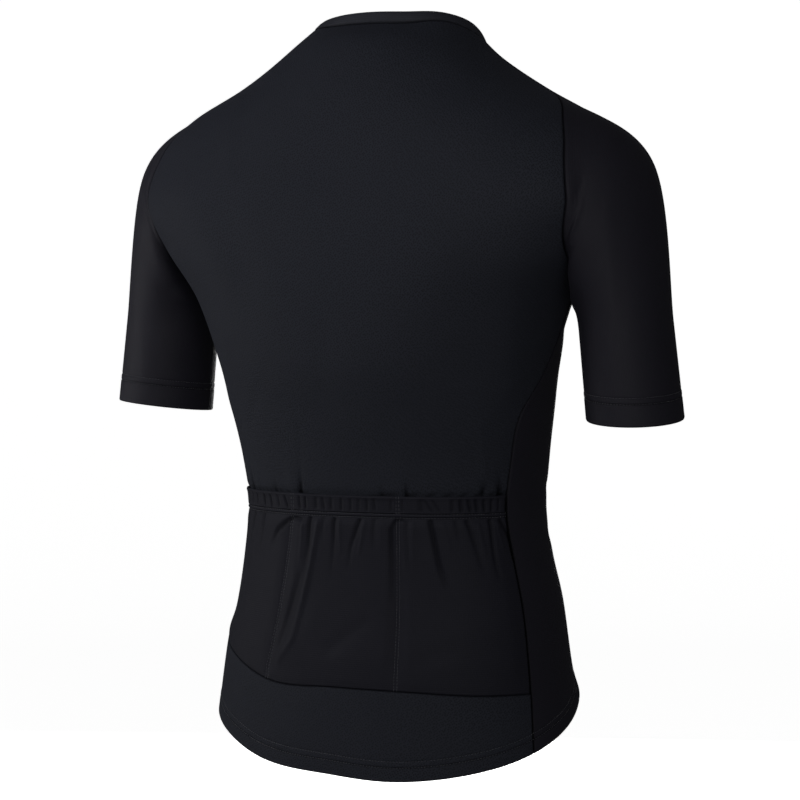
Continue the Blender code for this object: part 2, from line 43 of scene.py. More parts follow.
# The form that the cloth keeps, as the solids have it. Each ring has its half width, depth behind, depth
# in front and middle in millimetres, then its squareness behind and in front.
ringParts = ("halfWidth", "back", "front", "middleY", "squareBack", "squareFront")
rings = {
    "collarSeam": (84, 69, 80, -1, 2, 2),
    "yoke": (106.5, 96, 92, -4, 2, 2),
    "shoulderEnd": (151, 112, 106, 0, 2.1, 2.05),
    "upperCap": (199.5, 121, 115, 4, 2.3, 2.1),
    "cap": (231.8, 126, 119, 8, 2.55, 2.15),
    "deltoid": (242.6, 129, 121, 14, 2.7, 2.15),
    "upperChest": (213, 129, 121, 18, 2.7, 2.05),
    "armpit": (179, 126, 118, 20, 2.6, 1.9),
    "chest": (160.5, 119, 117, 22, 2.3, 2.3),
    "ribs": (152, 113, 113, 16, 2.3, 2.3),
    "aboveWaist": (144, 109, 109, 10, 2.3, 2.3),
    "waist": (139.5, 107, 107, 6, 2.3, 2.3),
    "belowWaist": (144, 111, 112, 2, 2.3, 2.3),
    "hips": (152.5, 119, 120, -1, 2.28, 2.28),
    "pocketFoot": (162.2, 128, 128, 0, 2.25, 2.25),
    "hem": (169.8, 134, 134, 3, 2.25, 2.25),
}
ringAt = {name: number for number, name in enumerate(rings)}
neck, shoulderEnd, armpit = ringAt["collarSeam"], ringAt["shoulderEnd"], ringAt["armpit"]
pocketFoot, hem = ringAt["pocketFoot"], ringAt["hem"]

# The height of each ring in millimetres: one for the whole ring, or one every 30 degrees from centre back
# to centre front and, where the sides differ, back again by the wearer's right. The neck is worn a little
# turned, and the hem rides up on the left.
heightStep = 30
heights = {
    "collarSeam": (9.5, 8.9, 7.2, -3, -22, -51, -65, -51, -22, -3, 11.4, 9.7),
    "yoke": (-6, -8, -13, -23, -45, -74, -88),
    "shoulderEnd": (-45, -45, -44.5, -50, -71, -101, -112),
    "upperCap": (-83, -81, -74, -75, -95, -128, -140),
    "cap": (-119, -116, -108, -106, -123, -154, -165),
    "deltoid": (-154, -152, -148, -147, -158, -182, -190),
    "upperChest": (-194, -194, -194, -194, -200, -212, -216),
    "armpit": (-239, -239, -239, -239, -242, -248, -250),
    "chest": -295,
    "ribs": -340,
    "aboveWaist": -384,
    "waist": -428,
    "belowWaist": -472,
    "hips": (-526, -525, -522, -518, -514, -511, -510),
    "pocketFoot": (-583.5, -582.5, -559, -537, -540, -545, -548, -555, -570, -588, -589, -585),
    "hem": (-660.2, -652.6, -627, -602, -585, -580, -582, -584, -591.5, -626.2, -652, -663.4),
}

# where the back panel and the front end at each ring, in degrees, from the shoulder's end down
shoulderSeam = 90.0
backEdge = (90, 76, 70, 69, 74, 94, 91, 77.5, 74.5, 73, 74, 74.5, 74.5, 73.5)
frontEdge = (90, 103, 111, 115, 115.5, 108, 111, 113, 112, 111, 110, 109, 108, 107)

clothThickness = 0.0010
zipShape = {
    "halfGap": 0.0045,
    "tapeInner": 0.0016,  # beside the slider
    "tapeClosed": 0.0001,  # below it
    "closing": (0.4, 0.2),  # the tapes close between these shares of the collar's height
    "tapeOuter": 0.0130,
    "tapeDepth": 0.0019,
    "tapeThickness": 0.0010,
    "tapeRib": ((0.00025, 0.0010, 0.0022),),  # height, width and distance from the edge
    "tapeColumns": 9,
    "tapeRows": 180,
    "tapeShares": (0.98, 0.8, 0.6, 0.4, 0.2, 0.05),  # its rows on the collar
    "tapeEnd": 0.02,  # short of the hem, as a share of the way from the pocket seam
    "coilForward": 0.0002,
    "coilHalfWidth": 0.0023,
    "coilPitch": 0.0013,
    "coilTilt": 0.16,
    "coilFrom": 6,  # the row of the tapes where it begins, below the collar
    "wire": 0.00042,
    "stitches": 0.005,  # from the front's edge
}


def hermite(start, slopeIn, end, slopeOut, t):
    # a smooth run from start to end with the given slopes, for t from 0 to 1
    return (
        (2 * t**3 - 3 * t**2 + 1) * start + (t**3 - 2 * t**2 + t) * slopeIn
        + (3 * t**2 - 2 * t**3) * end + (t**3 - t**2) * slopeOut
    )


def curveAt(values, s):
    # a smooth curve through the values, which lie at 0, 1, 2 and so on
    values = np.asarray(values, float)
    s = np.clip(np.asarray(s, float), 0, len(values) - 1)
    values = values.reshape(len(values), *([1] * (s.ndim - values.ndim + 1)), *values.shape[1:])
    values = np.broadcast_to(values, (len(values), *s.shape))
    i = np.minimum(s.astype(int), len(values) - 2)

    def at(number):
        return np.take_along_axis(values, np.clip(number, 0, len(values) - 1)[None], axis=0)[0]

    before, start, end, after = at(i - 1), at(i), at(i + 1), at(i + 2)
    slopeIn = np.where(i > 0, (end - before) / 2, end - start)
    slopeOut = np.where(i < len(values) - 2, (after - start) / 2, end - start)
    return hermite(start, slopeIn, end, slopeOut, s - i)


def ringValue(part, s):
    number = ringParts.index(part)
    perUnit = 1 if part.startswith("square") else 1000
    return curveAt([row[number] / perUnit for row in rings.values()], s)


def allRound(values, angle):
    # twelve values, one every 30 degrees, smooth all the way round
    start = -180 // heightStep - 2
    return curveAt([values[k % 12] for k in range(start, 1 - start)], angle / heightStep - start)


def ringHeight(name, angle):
    given = np.array(heights[name]) / 1000
    if given.ndim == 0:
        return np.full(np.shape(angle), given)
    return allRound(given if len(given) == 12 else np.append(given, given[-2:0:-1]), angle)


def seamAngle(edge, s):
    below = curveAt(edge, np.asarray(s, float) - shoulderEnd)
    return np.where(np.asarray(s) <= shoulderEnd, shoulderSeam, below)


def smooth(start, end, value):
    t = np.clip((np.asarray(value, float) - start) / (end - start), 0, 1)
    return t * t * (3 - 2 * t)


def bump(value, width):
    return np.exp(-((value / width) ** 2))


def unit(vectors):
    return vectors / np.maximum(np.linalg.norm(vectors, axis=-1, keepdims=True), 1e-12)


def torso(angle, s):
    angle, s = np.broadcast_arrays(np.asarray(angle, float), np.asarray(s, float))
    turn = np.radians(angle)
    behind = np.cos(turn) >= 0
    depth = np.where(behind, ringValue("back", s), ringValue("front", s))
    square = np.where(behind, ringValue("squareBack", s), ringValue("squareFront", s))
    across, along = np.abs(np.sin(turn)) / ringValue("halfWidth", s), np.abs(np.cos(turn)) / depth
    reach = (across**square + along**square) ** (-1 / square)
    z = curveAt([ringHeight(name, angle) for name in rings], s)
    return np.stack([reach * np.sin(turn), ringValue("middleY", s) + reach * np.cos(turn), z], axis=-1)


def torsoNormal(angle, s, turn=0.5, step=0.02):
    roundIt = torso(np.asarray(angle) + turn, s) - torso(np.asarray(angle) - turn, s)
    down = torso(angle, np.asarray(s) + step) - torso(angle, np.asarray(s) - step)
    return unit(np.cross(roundIt, down))


def zipEdge(s, halfGap):
    return 180 - np.degrees(np.arctan2(halfGap, ringValue("front", s)))


# Folds that run over the whole body. Each runs through its points: degrees round the body, then in
# millimetres the height of the place, how far the cloth stands out there, and how wide.
bodyRadius = 0.125
metresPerDegree = math.radians(1) * bodyRadius
bodyFolds = (
    # creases that run into the top of the pockets
    ((17.8, -352, -0.25, 3), (20.5, -385, -0.45, 3), (22.1, -412.5, -2.2, 2)),
    ((26, -372, 0.1, 4.5), (27, -412.5, 0.6, 4.5)),
    ((-32.4, -398, -0.3, 1.6), (-32.3, -412.5, -2, 1.6)),
    ((-62.4, -396, -0.35, 1.7), (-62.5, -412.5, -2.3, 1.7)),
    ((-60.5, -350, 0.3, 4), (-63.3, -398, 1.3, 4)),
    ((-69.3, -392, -0.4, 2.2), (-69.8, -412.5, -2.6, 2.2)),
    ((-66.2, -380, 0.2, 2.8), (-66.4, -412.5, 0.8, 2.8)),
    ((-21, -400, -0.1, 1.8), (-21.4, -412.5, -1, 1.8)),
    ((48.8, -378, 0.2, 2.8), (49.4, -412.5, 0.9, 2.8)),
    ((54, -385, -0.2, 2.6), (55, -412.5, -1.3, 2.6)),
    ((36, -400, -0.1, 3), (37, -412.5, -0.8, 3)),
    ((64, -392, -0.2, 2.2), (64.6, -412.5, -1.2, 2.2)),
    # a soft pull across the ribs to the side seam
    ((-47.5, -292, -0.35, 3.6), (-55, -341, -0.8, 3.6), (-62, -385, -0.25, 4)),
    # the blade of the right shoulder
    ((-58, -196, 0.6, 13), (-65, -250, 2.2, 13), (-72, -310, 1.4, 12)),
    ((-50, -205, -0.6, 11), (-57, -305, -1, 11)),
    # and of the left
    ((57, -126, 0.6, 12), (50, -170, 1.7, 12), (42, -222, 1.4, 13)),
    ((42, -135, -0.5, 12), (33, -215, -0.8, 12)),
    ((49, -66, 0.2, 5.5), (40, -128, 0.55, 5.5)),
    ((47, -250, 0.4, 15), (62, -330, 1.1, 15)),
    ((30, -300, -0.2, 6), (47, -352, -0.6, 6)),
    # the upper back between the blades
    ((12, -150, 0.35, 26), (-14, -163, 0.35, 26)),
    ((-3, -230, -0.3, 16), (6, -330, -0.4, 16)),
    ((-36, -110, -0.5, 13), (-52, -150, -0.7, 13)),
    # on the chest, pulls from each armpit
    ((104, -262, -1, 6.5), (146, -302, -0.3, 6.5)),
    ((-103, -264, -1.1, 7), (-143, -298, -0.3, 7)),
    ((110, -245, 1.1, 8), (150, -262, 0.4, 8)),
    ((-111, -243, 1, 8.5), (-152, -266, 0.4, 8.5)),
    ((122, -192, -0.8, 8), (156, -214, -0.25, 8)),
    ((-120, -190, -0.85, 7.5), (-158, -209, -0.25, 7.5)),
    # and soft breaks at the waist
    ((112, -405, -0.9, 5.5), (158, -425, -0.2, 5.5)),
    ((-113, -412, -0.85, 6), (-160, -421, -0.2, 6)),
    ((116, -446, -0.85, 6), (152, -456, -0.2, 6)),
    ((-110, -452, -0.9, 6.5), (-149, -466, -0.2, 6.5)),
    ((96, -395, -0.6, 5), (112, -405, -0.9, 5)),
    ((-97, -402, -0.5, 5), (-113, -412, -0.85, 5)),
    ((128, -500, 0.4, 13), (134, -572, 0.9, 13)),
    ((-132, -495, 0.4, 14), (-129, -580, 0.95, 14)),
    ((84, -480, 0.25, 11), (82, -590, 0.8, 11)),
    ((-86, -470, 0.25, 11), (-90, -600, 0.7, 11)),
)
# slow unevenness: waves round the body, waves per metre of height, start in degrees and height in millimetres
bodyWaves = (
    (3, 2.4, 40, 0.22), (5, -3.1, 200, 0.18), (7, 5.2, 95, 0.13), (11, -6.3, 310, 0.08), (2, 9, 150, 0.1),
)
zipBuckle = {"height": 0.00045, "pitch": 0.031, "wander": 37, "reach": 0.014}


def foldLift(across, z, folds, metresPerUnit=metresPerDegree):
    # a fold's height and width change evenly from one of its points to the next
    x = across * metresPerUnit
    lift = np.zeros(np.broadcast(x, z).shape)
    for fold in folds:
        nearest = np.full(lift.shape, 1e9)
        height, width = np.zeros(lift.shape), np.ones(lift.shape)
        for start, end in zip(fold, fold[1:]):
            runX, runZ = (end[0] - start[0]) * metresPerUnit, (end[1] - start[1]) / 1000
            fromX, fromZ = x - start[0] * metresPerUnit, z - start[1] / 1000
            share = np.clip((fromX * runX + fromZ * runZ) / (runX**2 + runZ**2), 0, 1)
            distance = np.hypot(fromX - share * runX, fromZ - share * runZ)
            closer = distance < nearest
            nearest = np.where(closer, distance, nearest)
            height = np.where(closer, start[2] + (end[2] - start[2]) * share, height)
            width = np.where(closer, start[3] + (end[3] - start[3]) * share, width)
        lift += height / 1000 * bump(nearest, width / 1000)
    return lift


def bodyLift(angle, z):
    lift = foldLift(angle, z, bodyFolds)
    for count, climb, start, height in bodyWaves:
        lift += height / 1000 * np.sin(np.radians(angle * count + start) + climb * z * 2 * math.pi)
    # the front buckles a little along the zip
    fromZip = (180 - np.abs(angle)) * metresPerDegree
    wave = np.sin(z * 2 * math.pi / zipBuckle["pitch"] + 2 * np.sin(z * zipBuckle["wander"]))
    return lift + zipBuckle["height"] * wave * np.exp(-fromZip / zipBuckle["reach"])


def sharesAlong(length, step, closer=()):
    # shares from 0 to 1, a step apart, and closer together round each (place, reach, step)
    x = np.linspace(0, length, 4001)
    density = np.full(x.shape, 1 / step)
    for place, reach, fine in closer:
        density += (1 / fine - 1 / step) * np.exp(-(((x - place) / reach) ** 4))
    total = np.concatenate([[0], np.cumsum((density[1:] + density[:-1]) / 2 * np.diff(x))])
    count = int(math.ceil(total[-1]))
    return np.interp(np.linspace(0, total[-1], count + 1), total, x) / length


def cumulative(points, axis):
    steps = np.linalg.norm(np.diff(points, axis=axis), axis=-1)
    pad = [(1, 0) if k == axis else (0, 0) for k in range(2)]
    return np.pad(np.cumsum(steps, axis=axis), pad)


def gridFrom(points, normals, angle=None):
    # rows run down the cloth, columns from the wearer's right to left; around is a tube's length all round
    grid = SimpleNamespace(points=points, normals=normals, angle=angle, around=None, z=points[..., 2].copy())
    grid.fromRight, grid.fromTop = cumulative(points, 1), cumulative(points, 0)
    grid.fromLeft = grid.fromRight[:, -1:] - grid.fromRight
    grid.fromFoot = grid.fromTop[-1:] - grid.fromTop
    grid.fromSide = np.minimum(grid.fromRight, grid.fromLeft)
    return grid


def torsoGrid(edges, top, foot, columns, rows):
    # edges gives both end angles at a place, and rows the distances from the top for each column's length
    share = np.linspace(0, 1, 301)[:, None]
    top, foot = np.broadcast_to(top, columns.shape), np.broadcast_to(foot, columns.shape)
    places = top + (foot - top) * share
    right, left = edges(places)
    down = cumulative(torso(right + (left - right) * columns, places), 0)
    wanted = rows(down[-1])
    place = np.stack([np.interp(*each) for each in zip(wanted.T, down.T, places.T)], axis=1)
    right, left = edges(place)
    angle = right + (left - right) * columns
    return gridFrom(torso(angle, place), torsoNormal(angle, place), angle)


def placeAtHeight(edges, columns, z):
    places = np.linspace(neck, hem, 601)[:, None] * np.ones(len(columns))
    right, left = edges(places)
    heightsDown = torso(right + (left - right) * columns, places)[..., 2]
    return np.array([np.interp(-z, *each) for each in zip(-heightsDown.T, places.T)])


# near seams and lines of stitches the rows and columns lie closer: over this far, this far apart
closeRows, closeColumns, closeLine = (0.004, 0.0007), (0.0055, 0.0007), (0.002, 0.0005)
closeHem = {"above": 0.006, "edge": (0.003, 0.0005)}


def evenRows(step, atTop=closeRows, atFoot=closeRows):
    def rows(lengths):
        closer = ((0, *atTop), (lengths.max(), *atFoot))
        return sharesAlong(lengths.max(), step, closer)[:, None] * lengths

    return rows


def hemmedRows(step, shape):
    # the rows near the foot lie at fixed distances from it, so that a hem keeps its depth all round
    depth = shape["lines"][-1] + closeHem["above"]
    marks = [(0, *closeHem["edge"])] + [(line, *closeLine) for line in shape["lines"]]
    hemPlaces = sharesAlong(depth, step, marks) * depth

    def rows(lengths):
        above = sharesAlong(lengths.max() - depth, step, ((0, *closeRows),))[:, None] * (lengths - depth)
        return np.concatenate([above, (lengths - hemPlaces[::-1, None])[1:]])

    return rows


def panelColumns(width, step, closer=()):
    return sharesAlong(width, step, ((0, *closeColumns), (width, *closeColumns), *closer))


# a seam's dip and the puff beside it: height, width and distance from the seam
seamShape = ((-0.0014, 0.0011, 0), (0.0002, 0.0030, 0.0042))
seamDark = {"share": 0.72, "width": 0.0012}  # how much painted shade darkens the cloth in a seam, and how wide
hemShape = {
    "lines": (0.0125, 0.0178),  # two lines of stitches, measured from the edge
    "double": 0.0003,
    "doubleEnd": 0.0006,  # the double cloth ends within this of the upper line
    "line": (-0.00045, 0.0008),  # height and width of the dip along each line
    "edge": (-0.0005, 0.0007),
    "dark": ((0.6, 0.0008), (0.2, 0.0007)),  # painted shade along each line of stitches: how dark, and how wide
}
cuffHem = {**hemShape, "lines": (0.0200, 0.0256)}


def ridges(distance, rows=seamShape):
    # each row is a height, a width and its distance from the line
    return sum(height * bump(distance - middle, width) for height, width, middle in rows)


def seamDips(distance, other, shape=seamShape, otherShape=seamShape):
    # where two seams meet, the deeper of the two
    return np.minimum(ridges(distance, shape), ridges(other, otherShape))


def seamShade(distance, share=seamDark["share"], width=seamDark["width"]):
    # painted shade in the bottom of a seam
    return share * bump(distance, width)


def hemLift(fromFoot, shape):
    # folded double up to the upper line of stitches, pulled in along both, and rounded at the edge
    single = smooth(-shape["doubleEnd"], shape["doubleEnd"], fromFoot - shape["lines"][-1])
    dips = [(*shape["edge"], 0)] + [(*shape["line"], line) for line in shape["lines"]]
    return shape["double"] * (1 - single) + ridges(fromFoot, dips)


def hemShade(fromFoot, shape):
    # painted shade along the lines of stitches
    return ridges(fromFoot, [(*dark, line) for dark, line in zip(shape["dark"], shape["lines"])])


def raised(grid, lift, shade=0.0):
    # shade is painted shade: 1 in the bottom of a seam, where little light reaches the knit, and 0 on open
    # cloth
    grid.points = grid.points + grid.normals * lift[..., None]
    grid.shade = np.clip(np.broadcast_to(shade, lift.shape), 0, 1)
    return grid


def linearColour(hexText):
    channels = [int(hexText.lstrip("#")[k : k + 2], 16) / 255 for k in (0, 2, 4)]
    return (*[c / 12.92 if c <= 0.04045 else ((c + 0.055) / 1.055) ** 2.4 for c in channels], 1.0)


def addNode(tree, kind, inputs=None, **settings):
    node = tree.nodes.new(kind)
    for name, value in settings.items():
        setattr(node, name, value)
    for name, value in (inputs or {}).items():
        if isinstance(value, bpy.types.NodeSocket):
            tree.links.new(value, node.inputs[name])
        else:
            node.inputs[name].default_value = linearColour(value) if isinstance(value, str) else value
    return node


def newMaterial(name, settings):
    material = bpy.data.materials.new(name)
    material.use_nodes = True
    shader = material.node_tree.nodes["Principled BSDF"]
    for socket, value in settings.items():
        shader.inputs[socket].default_value = value
    return material, material.node_tree, shader


def mixColours(tree, share, first, second, blend="MIX"):
    # a Mix node's colour sockets share their names with its number sockets, so they are picked by place
    return addNode(
        tree, "ShaderNodeMix", {0: share, 6: first, 7: second}, data_type="RGBA", blend_type=blend
    ).outputs[2]


def calculate(tree, operation, *values):
    return addNode(tree, "ShaderNodeMath", dict(enumerate(values)), operation=operation).outputs[0]


def noise(tree, place, size, detail, roughness=0.5):
    return addNode(tree, "ShaderNodeTexNoise", {
        "Vector": place, "Scale": 1 / size, "Detail": detail, "Roughness": roughness,
    }).outputs["Fac"]


def addRelief(tree, shader, height, distance=1.0):
    relief = addNode(tree, "ShaderNodeBump", {"Strength": 1.0, "Distance": distance, "Height": height})
    tree.links.new(relief.outputs["Normal"], shader.inputs["Normal"])


def knit(name, look, wear=(-0.05, 0.07)):
    # A knitted cloth. Loops or holes make a lattice that follows the cloth's own map, which is in metres.
    material, tree, shader = newMaterial(name, {
        "Roughness": look["roughness"],
        "IOR": 1.45,
        "Specular IOR Level": look["specular"],
        "Sheen Weight": look["sheen"],
        "Sheen Roughness": look["sheenRoughness"],
        "Sheen Tint": linearColour(look["sheenColour"]),
    })
    place = addNode(tree, "ShaderNodeUVMap", uv_map="Cloth").outputs["UV"]
    turned = addNode(tree, "ShaderNodeMapping", {
        "Vector": place, "Rotation": (0, 0, math.radians(look["turn"])),
        "Scale": (1 / look["pitch"], look["stretch"] / look["pitch"], 1),
    }).outputs["Vector"]
    loops = addNode(tree, "ShaderNodeTexVoronoi", {
        "Vector": turned, "Scale": 1.0, "Randomness": look["uneven"],
    }, voronoi_dimensions="2D", feature="F1").outputs["Distance"]
    hole = addNode(tree, "ShaderNodeMapRange", {
        "Value": loops, "From Min": look["holeIn"], "From Max": look["holeOut"], "To Min": 1, "To Max": 0,
    }, interpolation_type="SMOOTHSTEP").outputs["Result"]
    fibre = noise(tree, place, look["fibre"], 2, 0.6)
    cloudy = noise(tree, place, look["cloud"], 3, 0.55)
    # the shade attribute is painted shade in seams, creases, gathers and pleats: it darkens the knit towards
    # its painted shade colour
    seam = addNode(tree, "ShaderNodeAttribute", attribute_name="shade").outputs["Fac"]
    yarn = mixColours(tree, cloudy, look["yarnDark"], look["yarn"])
    flecked = mixColours(tree, look["fleck"], yarn, fibre, "MULTIPLY")
    pierced = mixColours(tree, hole, flecked, look["hole"])
    tree.links.new(mixColours(tree, seam, pierced, look["seam"]), shader.inputs["Base Color"])
    # a seam lies in its own shade, which is painted here, so its gloss fades too
    for socket, plain in (("Sheen Weight", look["sheen"]), ("Specular IOR Level", look["specular"])):
        fading = addNode(tree, "ShaderNodeMapRange", {"Value": seam, "To Min": plain, "To Max": 0.0})
        tree.links.new(fading.outputs["Result"], shader.inputs[socket])
    loopHeight = calculate(tree, "MULTIPLY", hole, -look["relief"])
    addRelief(tree, shader, calculate(tree, "MULTIPLY_ADD", fibre, look["fuzz"], loopHeight))
    smoothest, roughest = [look["roughness"] + change for change in wear]
    worn = addNode(tree, "ShaderNodeMapRange", {
        "Value": cloudy, "To Min": smoothest, "To Max": roughest,
    }).outputs["Result"]
    tree.links.new(worn, shader.inputs["Roughness"])
    return material


# Polyester micro-mesh, warp knitted: tiny holes in slanted rows that break up the light. The real holes
# are about 1.2 mm apart; they are drawn 2.2 mm apart, which is as fine as still shows.
microMesh = knit("polyester micro-mesh knit", {
    # its darkest colour, #050506, is painted shade for seams, creases and gathers
    "yarn": "#24262d", "yarnDark": "#1f2128", "hole": "#121318", "seam": "#050506", "turn": 32.0,
    "pitch": 0.0022, "stretch": 1.0, "uneven": 0.62, "holeIn": 0.14, "holeOut": 0.42, "fleck": 0.30,
    "relief": 0.00014, "fuzz": 0.00012, "fibre": 0.0011, "cloud": 0.045, "roughness": 0.74,
    "specular": 0.12, "sheen": 0.02, "sheenRoughness": 0.45, "sheenColour": "#c4c8e2",
})
# Nylon and elastane interlock: close upright loops, smoother and a little more lustrous than the mesh.
# The real loops are 0.6 mm apart, and are drawn 1.5 mm apart, to show.
interlockLook = {
    # its darkest colour, #050506, is painted shade for seams, creases and gathers
    "yarn": "#1f1e25", "yarnDark": "#1c1b22", "hole": "#15141a", "seam": "#050506", "turn": 0.0,
    "pitch": 0.0015, "stretch": 0.8, "uneven": 0.15, "holeIn": 0.18, "holeOut": 0.55, "fleck": 0.18,
    "relief": 0.00006, "fuzz": 0.00007, "fibre": 0.0011, "cloud": 0.045, "roughness": 0.64,
    "specular": 0.15, "sheen": 0.02, "sheenRoughness": 0.40, "sheenColour": "#c8c8dc",
}
interlock = knit("nylon elastane interlock knit", interlockLook)
# The collar is the same cloth, painted paler to stand in for the light that falls on it.
collarPaintedLightKnit = knit("nylon elastane interlock knit painted paler", {
    # its yarn colours are painted paler to stand in for light, and its painted shade colour with them
    **interlockLook, "yarn": "#2a2b32", "yarnDark": "#25262c", "hole": "#1b1c21", "seam": "#0b0b0d",
})
# The same cloth on the pockets, a little darker and rougher.
pocketKnit = knit("darker nylon elastane interlock knit", {
    **interlockLook, "yarn": "#1c1c23", "yarnDark": "#191920", "hole": "#131319", "roughness": 0.70,
    "specular": 0.12,
})


def mottled(name, settings, size, detail, dark, pale):
    material, tree, shader = newMaterial(name, settings)
    spots = noise(tree, addNode(tree, "ShaderNodeTexCoord").outputs["Object"], size, detail)
    tree.links.new(mixColours(tree, spots, dark, pale), shader.inputs["Base Color"])
    return material


def wovenTape():
    # Woven polyester zip tape: upright cords 0.9 mm apart, crossed by a finer weft.
    material, tree, shader = newMaterial("woven polyester zip tape", {
        "Roughness": 0.7, "Specular IOR Level": 0.35,
    })
    place = addNode(tree, "ShaderNodeUVMap", uv_map="Cloth").outputs["UV"]
    # a wave texture makes 20 bands in two pi units
    cords, weft = [
        addNode(tree, "ShaderNodeTexWave", {
            "Vector": place, "Scale": 1 / pitch / 20 * 2 * math.pi,
        }, bands_direction=across).outputs["Fac"]
        for pitch, across in ((0.0009, "X"), (0.0006, "Y"))
    ]
    both = calculate(tree, "MULTIPLY", cords, weft)
    tree.links.new(mixColours(tree, both, "#131317", "#26262c"), shader.inputs["Base Color"])
    addRelief(tree, shader, both, distance=0.0001)
    return material


def paintedZinc():
    # Painted zinc casting: satin black paint, slightly uneven, rubbed thin along the edges by hands.
    material, tree, shader = newMaterial("satin painted zinc", {
        "Roughness": 0.36, "Coat Weight": 0.25, "Coat Roughness": 0.3,
    })
    place = addNode(tree, "ShaderNodeTexCoord").outputs["Object"]
    edges = addNode(tree, "ShaderNodeNewGeometry").outputs["Pointiness"]
    rubbed = addNode(tree, "ShaderNodeMapRange", {"Value": edges, "From Min": 0.52, "From Max": 0.60})
    colour = mixColours(tree, rubbed.outputs["Result"], "#17181b", "#3c3d42")
    tree.links.new(colour, shader.inputs["Base Color"])
    addRelief(tree, shader, noise(tree, place, size=0.0015, detail=3.0), distance=0.00003)
    return material


# Spun polyester sewing thread, shinier than the cloth, with its twist drawn at 0.5 mm.
threadLook = {"Roughness": 0.55, "Sheen Weight": 0.2}
thread = mottled("spun polyester thread", threadLook, 0.0005, 1, "#1d1e24", "#3a3b44")
# Drawn nylon wire: smooth, with a soft gloss and faint rubbed places.
zipCoil = mottled("nylon zip coil", {"Roughness": 0.38, "IOR": 1.53}, 0.004, 2, "#15161a", "#26272c")
zipTape, zipMetal = wovenTape(), paintedZinc()
print("materials made")

pieces, grids, sewnOn = {}, {}, {}


def addObject(name, data):
    thing = bpy.data.objects.new(name, data)
    bpy.context.scene.collection.objects.link(thing)
    return thing


def clothPiece(name, grid, material, thickness=clothThickness, flip=False):
    rows, columns = grid.points.shape[:2]
    closed = grid.around is not None
    last = columns if closed else columns - 1
    i, j = np.meshgrid(np.arange(rows - 1), np.arange(last), indexing="ij")
    k = (j + 1) % columns
    above, below = i * columns, (i + 1) * columns
    faces = np.stack([above + j, above + k, below + k, below + j], axis=-1).reshape(-1, 4)
    mesh = bpy.data.meshes.new(name)
    mesh.from_pydata(grid.points.reshape(-1, 3), [], faces[:, :: -1 if flip else 1].tolist())
    # the cloth's own map: metres across and down, from the middle of each row
    across = grid.fromRight - grid.fromRight[:, -1:] / 2 + 0.5
    corners = np.array([loop.vertex_index for loop in mesh.loops])
    places = np.stack([across, 1 - grid.fromTop], axis=-1).reshape(-1, 2)[corners]
    if closed:
        # the last column of faces runs on past the join in place of back to its start
        runsOn = (np.repeat(j.reshape(-1), 4) == last - 1) & (corners % columns == 0)
        places[runsOn, 0] += np.repeat(grid.around, columns)[corners][runsOn]
    mesh.uv_layers.new(name="Cloth").data.foreach_set("uv", places.astype(np.float32).ravel())
    mesh.polygons.foreach_set("use_smooth", np.ones(len(mesh.polygons), bool))
    # the painted shade goes to the knit's material as a point attribute
    shade = mesh.attributes.new("shade", "FLOAT", "POINT")
    shade.data.foreach_set("value", grid.shade.astype(np.float32).ravel())
    mesh.update()
    mesh.materials.append(material)
    pieces[name], grids[name] = addObject(name, mesh), grid
    wall = pieces[name].modifiers.new("Cloth thickness", "SOLIDIFY")
    wall.thickness = thickness
    wall.offset = -1


# the crease under each arm has painted shade, wider and deeper than a plain seam's
underArm = {"dark": 0.55, "width": 0.0050, "upperEnd": (-0.180, -0.215), "lowerEnd": (-0.275, -0.245)}


def underArmPaintedShade(grid, distance):
    under = smooth(*underArm["upperEnd"], grid.z) * smooth(*underArm["lowerEnd"], grid.z)
    return underArm["dark"] * under * bump(distance, underArm["width"])


def backEdges(places):
    edge = seamAngle(backEdge, places)
    return -edge, edge


def edgesBeside(sign, nearBack, nearFront):
    # the edges of a panel on one side of the body, between two angles from centre back
    def edges(places):
        ends = sign * nearBack(places), sign * nearFront(places)
        return np.minimum(*ends), np.maximum(*ends)

    return edges


def hemmedPanel(name, grid, material, toSide, lift=0.0, shade=0.0, topSeam=seamShape, topPaintedShade=()):
    # sewn along both sides and the top, and hemmed at the foot
    lift = lift + bodyLift(grid.angle, grid.z) + seamDips(toSide, grid.fromTop, otherShape=topSeam)
    lift += hemLift(grid.fromFoot, hemShape)
    # painted shade in the seams and along the hem's lines of stitches
    shade = shade + seamShade(toSide) + seamShade(grid.fromTop, *topPaintedShade)
    clothPiece(name, raised(grid, lift, shade + hemShade(grid.fromFoot, hemShape)), material)


# painted shade along the collar seam
collarSeamPaintedShade = 0.6
backPanel = {
    "width": 0.300,
    "step": 0.0019,
    "rowStep": 0.0040,
    "allowance": 0.07,  # runs on below the pocket seam, as a share of the way to the hem
    "underBand": (-0.4140, -0.4115),  # lies behind the pockets below these heights
    "behind": 0.0016,  # and so deep
    "foot": 0.0006,  # pressed in at its foot
    "footReach": (0.012, 0.004),
    "pinch": 0.0009,  # along the top of the band
    "pinchWidth": 0.0026,
    # painted shade along the top of the band: share and width
    "pinchPaintedShade": (0.55, 0.0011),
}
